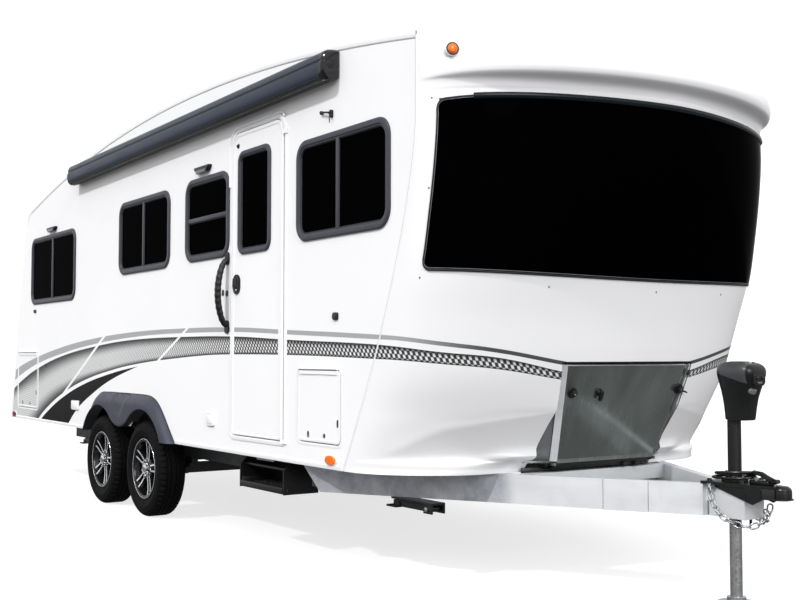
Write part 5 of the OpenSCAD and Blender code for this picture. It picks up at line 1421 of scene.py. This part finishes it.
# face plate, folded flanges, inner pan, edges; the top edge strip in bright aluminium is a painted highlight
b.add(prism([(-0.350, 0.012), (0.350, 0.012), (0.434, VT), (-0.434, VT)], 0.0100, 0.0142, nose, 0.0012, 2), 3)
for sgn in (-1, 1):
    q = [(0.3495, 0.0125, 0.0140), (0.3900, 0.0125, 0.0014), (0.4680, VT, 0.0014), (0.4335, VT, 0.0140)]
    v = [nose(sgn * u, t, w + d) for d in (0.0004, -0.0012) for u, t, w in q]
    # near flange in bright aluminium, far flange in the plate finish: painted light and painted shade on a matching
    # pair
    b.add((v, [(0, 1, 2, 3), (7, 6, 5, 4), (0, 4, 5, 1), (1, 5, 6, 2), (2, 6, 7, 3), (3, 7, 4, 0)]), 4 if sgn < 0 else 3)
b.add(prism([(-0.386, 0.014), (0.386, 0.014), (0.458, VT - 0.002), (-0.458, VT - 0.002)], 0.0002, 0.0034, nose), 5)
b.add(prism([(-0.4335, VT - 0.0055), (0.4335, VT - 0.0055), (0.4335, VT), (-0.4335, VT)], 0.0002, 0.0152, nose, 0.0010, 2), 4)
b.add(prism([(-0.350, 0.0125), (0.350, 0.0125), (0.3506, 0.0165), (-0.3506, 0.0165)], 0.0002, 0.0150, nose, 0.0008, 1), 4)
# hinge barrel and its leaf
b.add(tube([(6.994, y, 0.578) for y in np.linspace(-0.352, 0.352, 9)], 0.0075, 16), 1)
for y in np.linspace(-0.352, 0.352, 9):
    b.add(lathe([(0.0, -0.0012), (0.0079, -0.0012), (0.0079, 0.0012), (0.0, 0.0012)], 16, (6.994, y, 0.578), "y"), 1)
b.add(rbox((6.993, -0.352, 0.578), (7.001, 0.352, 0.602), 0.001, 1), 3)


def nose_turn(r, prof, u, v, n=24):
    pts = np.array([[nose(u + q * math.cos(2 * math.pi * k / n), v + q * math.sin(2 * math.pi * k / n), w) for k in range(n)] for q, w in prof])
    vv, ff = grid(pts, close_v=True)
    ff += [tuple(range(n))[::-1], tuple((len(prof) - 1) * n + k for k in range(n))]
    return vv, ff


# round latch with a fluted knob
for u, v in ((-0.362, 0.396), (0.424, 0.404)):
    b.add(nose_turn(1, [(0.0300, 0.0140), (0.0300, 0.0185), (0.0275, 0.0205), (0.0225, 0.0210)], u, v), 1)
    for k in range(8):
        t = 2 * math.pi * k / 8
        b.add(nose_turn(1, [(0.0048, 0.0195), (0.0048, 0.0330), (0.0032, 0.0355)], u + 0.0165 * math.cos(t), v + 0.0165 * math.sin(t), 10), 1)
    b.add(nose_turn(1, [(0.0165, 0.0195), (0.0165, 0.0350), (0.0140, 0.0375), (0.0080, 0.0385)], u, v, 20), 1)
    b.add(nose_turn(1, [(0.0060, 0.0380), (0.0055, 0.0405), (0.0030, 0.0412)], u, v, 14), 2)
b.add(tube([nose(0.424, 0.404, 0.036), nose(0.448, 0.398, 0.046), nose(0.466, 0.392, 0.044)], [0.006, 0.005, 0.004], 8), 1)
# T handle
b.add(nose_turn(1, [(0.0210, 0.0140), (0.0210, 0.0190), (0.0190, 0.0210), (0.0100, 0.0215)], -0.175, 0.396), 1)
b.add(nose_turn(1, [(0.0085, 0.0200), (0.0085, 0.0340), (0.0060, 0.0350)], -0.175, 0.396, 16), 2)
b.add(prism(stad(-0.175, 0.384, 0.0105, 0.0300, 8), 0.0330, 0.0440, nose, 0.004, 3), 1)
b.out("nose_box_door_skin", ["mach", "black", "chrome", "mirror", "alu", "aludark"], body="nose_box_door", slot="alu_box", replaces=["nose_box_door"], smooth=40)

b = Build()
# thin seal along the cut-out of the cap, and closing plates from there to the box
zr = np.linspace(0.590, 1.092, 40)
ur = np.array([min(np.linspace(0.3, NOTCH_U, 800), key=lambda q: abs(float(cap_pt(q, NOTCH_A)[2]) - z)) for z in zr])
for sgn in (-1, 1):
    b.add(tube([cap_off(u, sgn * float(notch_a(u)), -0.003) for u in np.linspace(0.15, NOTCH_U, 60)], 0.0022, 8), 0)
    strip_ = []
    for z in np.linspace(0.593, 1.088, 34):
        v = (z - 0.582) / CN
        u = float(np.interp(z, zr, ur))
        strip_.append([tuple(np.array(cap_pt(u, sgn * (float(notch_a(u)) + 0.05))) - (0.008, 0, 0)),
                       (6.9792 + v * SN - 0.007, sgn * (0.390 + 0.078 * (v - 0.0125) / (VT - 0.0125) - 0.004), z)])
    b.add(grid(np.array(strip_)), 4)
    rows = []
    for z, u in zip(zr, ur):
        k = (z - 0.582) / 0.514
        fx, fy = 6.978 + 0.186 * k, 0.391 + 0.073 * k
        bx_, by = 6.905 + 0.215 * k, 0.500
        q = 0.86
        e = np.array(cap_pt(u, sgn * (float(notch_a(u)) + 0.3))) - (0.018, 0, 0)
        rows.append([tuple(e), (fx + (bx_ - fx) * q, sgn * (fy + (by - fy) * q + 0.0015), z)])
    b.add(grid(np.array(rows)), 3)
b.add(tube([cap_off(NOTCH_U, a, -0.003) for a in np.linspace(-23.0, 23.0, 50)], 0.0046, 8), 0)
b.add(grid(np.array([[tuple(cap_off(NOTCH_U + 0.02, a, -0.020)), (7.140, HW * math.sin(math.radians(a)), 1.0945)] for a in np.linspace(-23.0, 23.0, 40)])), 2)
# splayed side plates catch the light along their front edge
for sgn in (-1, 1):
    b.add(prism([(6.700, 0.560), (6.960, 0.560), (6.964, 0.582), (6.700, 0.582)], 0, 0.010, lambda u, v, w, s=sgn: (u, s * (0.380 + w), v), 0.002, 2), 1)
# bottom rail of the box and two clamps
b.add(rbox((6.930, -0.345, 0.548), (6.972, 0.345, 0.574), 0.004, 2), 1)
# apron below the box, behind the lower edge of the cap: a dark sheet standing in as painted shade for the space under
# the box
b.add(rbox((6.884, -0.500, 0.515), (6.892, 0.420, 0.556), 0.002, 1), 1)
for y in (0.16, 0.25):
    b.add(rbox((6.955, y - 0.016, 0.536), (6.990, y + 0.016, 0.562), 0.005, 2), 0)
b.out("nose_box_reveal", ["gasket", "steel", "frame_in", "plate", "reveal"], slot="black_plastic", smooth=50)

# ------------------------------------------------------------------ small fittings on the side walls
b = Build()
# scene lights
for x0, x1, z0, z1 in ((4.412, 4.640, 2.340, 2.392), (1.155, 1.395, 2.245, 2.290)):
    cx = (x0 + x1) / 2
    b.add(prism([(x0 + 0.03, z0 + 0.012), (x1 - 0.03, z0 + 0.012), (x1, z1 - 0.010), (x1 - 0.004, z1), (x0 + 0.004, z1), (x0, z1 - 0.010)], 0.0004, 0.030, right, 0.007, 3), 0)
    b.add(prism([(x0 + 0.045, z0 + 0.004), (x1 - 0.045, z0 + 0.004), (x1 - 0.032, z0 + 0.030), (x0 + 0.032, z0 + 0.030)], 0.002, 0.034, right, 0.005, 3), 5)
    for u in (x0 + 0.016, x1 - 0.016):
        b.add(dome(right, u, z1 - 0.018, 0.0045, 0.003, 10, 3, 0.029), 3)
# cable port, small vent below the rear window, outlet covers
b.add(prism(rr(6.197, 1.329, 6.246, 1.369, 0.010), 0.0004, 0.0120, right, 0.004, 3), 0)
b.add(prism(rr(6.205, 1.336, 6.238, 1.362, 0.007), 0.0110, 0.0150, right, 0.002, 2), 3)
b.add(prism(rr(0.738, 1.532, 0.794, 1.562, 0.009), 0.0004, 0.0120, right, 0.004, 3), 0)
for x0, z0, x1, z1 in ((1.880, 0.680, 2.050, 0.756), (4.605, 0.685, 4.714, 0.764)):
    b.add(prism(rr(x0, z0, x1, z1, 0.010), 0.0004, 0.0140, right, 0.005, 3), 2)
    b.add(prism(rr(x0 + 0.014, z0 + 0.014, x1 - 0.014, z1 - 0.008, 0.008), 0.0130, 0.0175, right, 0.003, 2), 2)
    b.add(prism([(x0 + 0.012, z0 - 0.0035), (x1 - 0.012, z0 - 0.0035), (x1 - 0.012, z0 + 0.004), (x0 + 0.012, z0 + 0.004)], 0.0006, 0.0120, right, 0.0015, 1), 4)
    b.add(tube([right(x0 + 0.02, z1 - 0.002, 0.014), right(x1 - 0.02, z1 - 0.002, 0.014)], 0.0025, 8), 4)
# arm that holds the open door
b.add(prism(stad(6.078, 2.471, 0.010, 0.010, 10), 0.0004, 0.012, right, 0.003, 3), 0)
b.add(dome(right, 6.078, 2.471, 0.0115, 0.012, 16, 4, 0.011), 0)
b.add(tube([right(6.078, 2.471, 0.016), right(6.110, 2.468, 0.021), right(6.145, 2.461, 0.023), right(6.178, 2.454, 0.022)], [0.0065, 0.005, 0.005, 0.0055], 10), 0)
b.add(prism(stad(6.178, 2.450, 0.0095, 0.022, 8), 0.0004, 0.018, right, 0.004, 3), 0)
b.add(tube([right(6.178, 2.432, 0.0195), right(6.179, 2.415, 0.0205), right(6.178, 2.398, 0.0200)], [0.0022, 0.0030, 0.0018], 8), 3)
b.out("wall_fittings_right", ["black", "clear", "trim", "frame_in", "seal", "lens"], slot="black_plastic")

# left side: shore inlet, water filler, refrigerator vents
b = Build()
for x0, z0, x1, z1 in ((4.30, 0.75, 4.76, 1.12), (4.30, 1.50, 4.76, 1.72)):
    b.add(ring((x0, z0, x1, z1), 0.02, [(0.0, 0.0004), (0.0, 0.010), (0.004, 0.014), (0.022, 0.014), (0.026, 0.006), (0.026, 0.0004)], left, 6), 0)
    nl = int((z1 - z0 - 0.06) / 0.028)
    for k in range(nl):
        z = z0 + 0.034 + k * 0.028
        b.add(prism([(x0 + 0.03, z), (x1 - 0.03, z), (x1 - 0.03, z + 0.016), (x0 + 0.03, z + 0.016)], 0.0004, 0.009, left, 0.003, 2), 0)
for x, z in ((1.55, 0.72), (2.00, 0.92)):
    b.add(prism(stad(x, z, 0.075, 0.075, 12), 0.0004, 0.012, left, 0.004, 3), 0)
    b.add(prism(stad(x, z, 0.056, 0.056, 12), 0.011, 0.020, left, 0.004, 3), 0)
    b.add(prism(stad(x, z, 0.012, 0.018, 8), 0.019, 0.028, left, 0.003, 2), 1)
b.add(prism(rr(5.20, 0.70, 5.36, 0.84, 0.012), 0.0004, 0.018, left, 0.005, 3), 0)
b.add(tube([left(5.21, 0.838, 0.018), left(5.35, 0.838, 0.018)], 0.004, 8), 1)
b.out("wall_fittings_left", ["trim", "seal"], slot="white_panel")

# ------------------------------------------------------------------ lights
b = Build()
for fr in (right, left):
    for x, z, m in ((6.178, 0.579, 1), (0.150, 0.566, 2)):
        oval = lambda a_, c_: [(x + a_ * math.cos(2 * math.pi * k / 36), z + c_ * math.sin(2 * math.pi * k / 36)) for k in range(36)]
        b.add(prism(oval(0.058, 0.029), 0.0004, 0.006, fr, 0.002, 2), 0)
        b.add(prism(oval(0.051, 0.0245), 0.005, 0.016, fr, 0.006, 4), m)
        for k in range(-2, 3):
            b.add(prism([(x + k * 0.016 - 0.003, z - 0.014), (x + k * 0.016 + 0.003, z - 0.014), (x + k * 0.016 + 0.003, z + 0.014), (x + k * 0.016 - 0.003, z + 0.014)], 0.0150, 0.0172, fr, 0.0008, 1), m)
b.out("side_marker_lights", ["trim", "amber", "red"], slot="amber_lens", replaces=["marker_lights"])

b = Build()
for sgn in (-1, 1):
    fr = lambda u, v, w, s=sgn: rear(s * u, v, w)
    b.add(prism(rr(0.958, 0.328, 1.062, 0.762, 0.026), 0.0004, 0.008, fr, 0.003, 2), 0)
    b.add(prism(rr(0.966, 0.480, 1.054, 0.754, 0.018), 0.0075, 0.018, fr, 0.006, 4), 1)
    b.add(prism(rr(0.966, 0.410, 1.054, 0.472, 0.014), 0.0075, 0.018, fr, 0.006, 4), 2)
    b.add(prism(rr(0.966, 0.336, 1.054, 0.402, 0.016), 0.0075, 0.018, fr, 0.006, 4), 3)
    for k in range(7):
        z = 0.500 + k * 0.036
        b.add(prism([(0.976, z), (1.044, z), (1.044, z + 0.010), (0.976, z + 0.010)], 0.0170, 0.0190, fr, 0.0008, 1), 1)
for u in (-0.40, 0.0, 0.40):
    b.add(prism(stad(u, 2.000, 0.034, 0.014, 8), 0.0004, 0.012, rear, 0.004, 3), 1)
b.out("tail_light_sets", ["black", "red", "amber", "clear"], slot="red_lens", replaces=["tail_lights"])

# rear: blank number plate with its lamp, lower rail, ladder-free trim strips
b = Build()
b.add(prism(rr(-0.16, 0.46, 0.16, 0.62, 0.012), 0.0004, 0.006, rear, 0.002, 2), 0)
b.add(prism(rr(-0.15, 0.47, 0.15, 0.61, 0.010), 0.0055, 0.0085, rear, 0.001, 2), 1)
b.add(prism(rr(-0.05, 0.632, 0.05, 0.662, 0.008), 0.0004, 0.024, rear, 0.005, 3), 0)
b.add(prism([(-1.16, 0.010), (1.16, 0.010), (1.16, 0.085), (-1.16, 0.085)], 0.0004, 0.006, rear, 0.003, 2), 2)
b.add(prism([(-1.16, 0.880), (1.16, 0.880), (1.16, 0.900), (-1.16, 0.900)], 0.0004, 0.004, rear, 0.0015, 2), 2)
b.out("rear_fittings", ["black", "clear", "trim"], slot="white_panel")

# ------------------------------------------------------------------ roof equipment


def roof_item(b, x0, x1, hy, z_top, rows, m, n=56, ex=4.2):
    """Lofted cover that sits on the curved roof."""
    cx, hx = (x0 + x1) / 2, (x1 - x0) / 2
    pts = []
    for frac, shrink in rows:
        row = []
        for k in range(n):
            t = 2 * math.pi * k / n
            cs, sn = math.cos(t), math.sin(t)
            e = 2 / ex
            x = cx + hx * shrink * abs(cs) ** e * (1 if cs >= 0 else -1)
            y = hy * shrink * abs(sn) ** e * (1 if sn >= 0 else -1)
            base = roof_z(x) + 0.0008
            row.append((x, y, base + (z_top - base) * frac))
        pts.append(row)
    v, f = grid(np.array(pts), close_v=True)
    f = list(f) + [tuple(range(n))[::-1], tuple((len(rows) - 1) * n + k for k in range(n))]
    b.add((v, f), m)


b = Build()
roof_item(b, 3.262, 4.238, 0.348, 3.198, [(0.0, 0.985), (0.06, 1.0), (0.10, 1.0), (0.13, 0.975), (0.30, 0.965), (0.55, 0.945), (0.75, 0.91), (0.88, 0.86), (0.96, 0.78), (1.0, 0.62)], 0)
for k in range(9):
    z = 2.975 + k * 0.016
    for y in (-0.30, 0.0):
        b.add(rbox((3.270 + 0.012 + (z - 2.97) * 0.10, y + 0.02, z), (3.300 + (z - 2.97) * 0.10, y + 0.28, z + 0.007), 0.002, 1), 1)
for k in range(12):
    x = 3.46 + k * 0.052
    for sgn in (-1, 1):
        b.add(rbox((x, sgn * 0.333, 2.985), (x + 0.024, sgn * 0.352, 3.060), 0.004, 2), 1)
for x in (3.42, 3.75, 4.08):
    b.add(rbox((x - 0.012, -0.26, 3.168), (x + 0.012, 0.26, 3.203), 0.005, 2), 0)
b.out("air_conditioner_cover", ["roofp", "frame_in"], slot="roof_plastic", replaces=["air_conditioner"], smooth=40)
b = Build()
for x, zt in ((1.500, 2.860), (5.650, 2.940)):
    roof_item(b, x - 0.210, x + 0.210, 0.210, roof_z(x) + 0.022, [(0.0, 1.0), (0.6, 1.0), (1.0, 0.975), (1.0, 0.85)], 0)
    hgt = zt - 0.0015
    roof_item(b, x - 0.195, x + 0.195, 0.195, hgt, [(0.30, 0.93), (0.42, 1.0), (0.72, 1.0), (0.86, 0.985), (0.95, 0.93), (1.0, 0.82)], 1)
    for y in (-0.12, -0.04, 0.04, 0.12):
        b.add(rbox((x - 0.145, y - 0.008, hgt - 0.006), (x + 0.145, y + 0.008, hgt + 0.004), 0.003, 2), 1)
b.out("roof_vent_lids", ["roofp", "frame_in"], slot="roof_plastic", replaces=["roof_vents"], smooth=40)

# ------------------------------------------------------------------ entry step, underbody details
SX0, SX1 = 5.030, 5.600
SY1 = -0.965
b = Build()
b.add(rbox((SX0 + 0.018, -1.202, 0.334), (SX1 - 0.018, -1.188, 0.372), 0.005, 3), 0)
for x in (SX0 + 0.018, SX1 - 0.030):
    b.add(rbox((x, -1.190, 0.340), (x + 0.012, SY1 - 0.020, 0.392), 0.003, 2), 0)
b.add(rbox((SX0 + 0.028, -1.190, 0.352), (SX1 - 0.028, SY1 - 0.020, 0.362), 0.002, 1), 0)
for i in range(12):
    for j in range(4):
        x, y = SX0 + 0.070 + i * 0.0395, -1.165 + j * 0.046
        b.add(lathe([(0.0070, 0.3615), (0.0105, 0.3615), (0.0098, 0.3650), (0.0078, 0.3650), (0.0070, 0.3615)], 14, (x, y, 0), "z"), 0)
for y in (-1.178, -1.004):
    b.add(rbox((SX0 + 0.050, y - 0.004, 0.361), (SX1 - 0.050, y + 0.004, 0.366), 0.0015, 1), 0)
b.out("step_tread_plate", ["black"], body="step_tread", slot="black_steel", replaces=["step_tread"])
b = Build()
# front bar, pivots and stop of the step housing, closing plate behind
b.add(rbox((SX0 + 0.008, SY1 - 0.006, 0.330), (SX1 - 0.008, SY1 - 0.002, 0.420), 0.001, 1), 0)
b.add(tube([(SX0 + 0.006, -1.150, 0.470), (SX1 - 0.006, -1.150, 0.470)], 0.011, 12), 0)
for x in (SX0 - 0.002, SX1 - 0.010):
    for y, z in ((-1.165, 0.352), (-1.020, 0.352), (-1.120, 0.470), (-1.010, 0.490)):
        b.add(lathe([(0.0, 0.0), (0.011, 0.0), (0.011, 0.010), (0.008, 0.012), (0.0, 0.012)], 6, (x, y, z), "x"), 0)
b.add(rbox((SX0 + 0.10, -1.132, 0.498), (SX0 + 0.32, -1.126, 0.516), 0.002, 1), 1)
b.out("step_housing_details", ["black", "galv"], slot="black_steel")

b = Build()
# tanks between the rails, drain pipe, pipe clips
b.add(rbox((4.130, -0.82, 0.462), (4.640, 0.82, 0.5285), 0.02, 3), 1)
b.add(rbox((1.930, -0.62, 0.462), (2.440, 0.62, 0.5285), 0.02, 3), 1)
b.add(tube([(1.99, 0.40, 0.470), (1.99, 0.70, 0.440), (1.99, 0.845, 0.435)], 0.030, 16), 2)
b.add(lathe([(0.0, 0.845), (0.040, 0.845), (0.040, 0.885), (0.0, 0.885)], 20, (1.99, 0, 0.435), "y", 1.0), 2)
b.add(tube([(x, 0.880, 0.440) for x in (4.1, 4.6, 5.1, 5.7)], 0.010, 10), 2)
for x in (4.30, 4.90, 5.50):
    b.add(rbox((x - 0.010, 0.864, 0.428), (x + 0.010, 0.912, 0.454), 0.004, 2), 0)
b.out("underbody_fittings", ["aludark", "black", "black"], slot="black_plastic")

b = Build()
# roller ends, pins and screws on the stabiliser mounts
for sx, sy, sz, ln in ((6.640, 0.880, 0.380, 0.380), (1.800, 0.930, 0.400, 0.470)):
    for sgn in (-1, 1):
        for off in (-0.0475, 0.0475):
            b.add(lathe([(0.0, 0.0), (0.0135, 0.0), (0.0135, 0.006), (0.010, 0.008), (0.0, 0.008)], 6, (sx, sgn * sy + off, sz - 0.034), "y", 1.0 if off > 0 else -1.0), 1)
        b.add(tube([(sx - 0.300, sgn * sy, sz - 0.014), (sx - 0.130, sgn * sy, sz - 0.014)], 0.0035, 10), 1)
b.out("stabiliser_pins", ["steel", "galv"], slot="black_steel")

for name, off in BEVEL.items():
    ob = NODE[name]
    if ob.hide_render:
        continue
    mod = ob.modifiers.new("edge", "BEVEL")
    mod.width = off
    mod.segments = 2
    mod.limit_method = "ANGLE"
    mod.angle_limit = math.radians(40)
    mod.harden_normals = False

# ------------------------------------------------------------------ stage
me = bpy.data.meshes.new("floor")
R_ = 300.0
me.from_pydata([(-R_, -R_, -0.0008), (R_, -R_, -0.0008), (R_, R_, -0.0008), (-R_, R_, -0.0008)], [], [(0, 1, 2, 3)])
stage = bpy.data.objects.new("studio_floor", me)
SCENE.collection.objects.link(stage)
g = Graph("studio_floor")
n = g.noise(0.7, 3, 0.5)
g.base(g.mix(n, (0.34, 0.34, 0.345, 1), (0.37, 0.37, 0.375, 1)))
g.set(Roughness=0.9, Specular_IOR_Level=0.1)
g.bsdf.inputs["Emission Color"].default_value = (1, 1, 1, 1)
g.bsdf.inputs["Emission Strength"].default_value = 0.74
me.materials.append(g.mat)
stage.visible_diffuse = False
stage.visible_glossy = False

# pale backdrop far behind
me = bpy.data.meshes.new("backdrop")
nb, rb = 96, 280.0
me.from_pydata([(rb * math.cos(2 * math.pi * k / nb), rb * math.sin(2 * math.pi * k / nb), z) for z in (-2.0, 180.0) for k in range(nb)], [],
               [((k + 1) % nb, k, nb + k, nb + (k + 1) % nb) for k in range(nb)])
back = bpy.data.objects.new("studio_backdrop", me)
SCENE.collection.objects.link(back)
g = Graph("studio_backdrop")
g.base(g.mix(g.noise(0.02, 2, 0.5), (0.30, 0.30, 0.30, 1), (0.34, 0.34, 0.34, 1)))
g.set(Roughness=0.9, Specular_IOR_Level=0.1)
g.bsdf.inputs["Emission Color"].default_value = (1, 1, 1, 1)
g.bsdf.inputs["Emission Strength"].default_value = 1.0
me.materials.append(g.mat)
for flag in ("visible_diffuse", "visible_glossy", "visible_shadow", "visible_transmission"):
    setattr(back, flag, False)

world = bpy.data.worlds.new("studio")
SCENE.world = world
world.use_nodes = True
wt = world.node_tree
bg = wt.nodes["Background"]
# open sky above, dull ground below
wco = wt.nodes.new("ShaderNodeTexCoord")
wsep = wt.nodes.new("ShaderNodeSeparateXYZ")
wt.links.new(wco.outputs["Generated"], wsep.inputs[0])
wmap = wt.nodes.new("ShaderNodeMapRange")
wmap.interpolation_type = "SMOOTHSTEP"
wt.links.new(wsep.outputs["Z"], wmap.inputs["Value"])
wmap.inputs["From Min"].default_value = -0.055
wmap.inputs["From Max"].default_value = -0.006
wmap.inputs["To Min"].default_value = 0.22
wmap.inputs["To Max"].default_value = 0.90
wt.links.new(wmap.outputs["Result"], bg.inputs[1])
bg.inputs[0].default_value = (1.0, 1.0, 1.0, 1)


def sun(name, direction, strength, angle, color=(1, 1, 1)):
    li = bpy.data.lights.new(name, "SUN")
    li.energy = strength
    li.angle = math.radians(angle)
    li.color = color
    ob = bpy.data.objects.new(name, li)
    SCENE.collection.objects.link(ob)
    ob.rotation_euler = Vector(direction).to_track_quat("-Z", "Y").to_euler()
    return ob


sun("key", (-0.20, 1.0, -0.93), 1.74, 1.2, (1.0, 0.995, 0.985))
sun("front_fill", (-1.0, 0.30, -0.45), 1.45, 30.0)
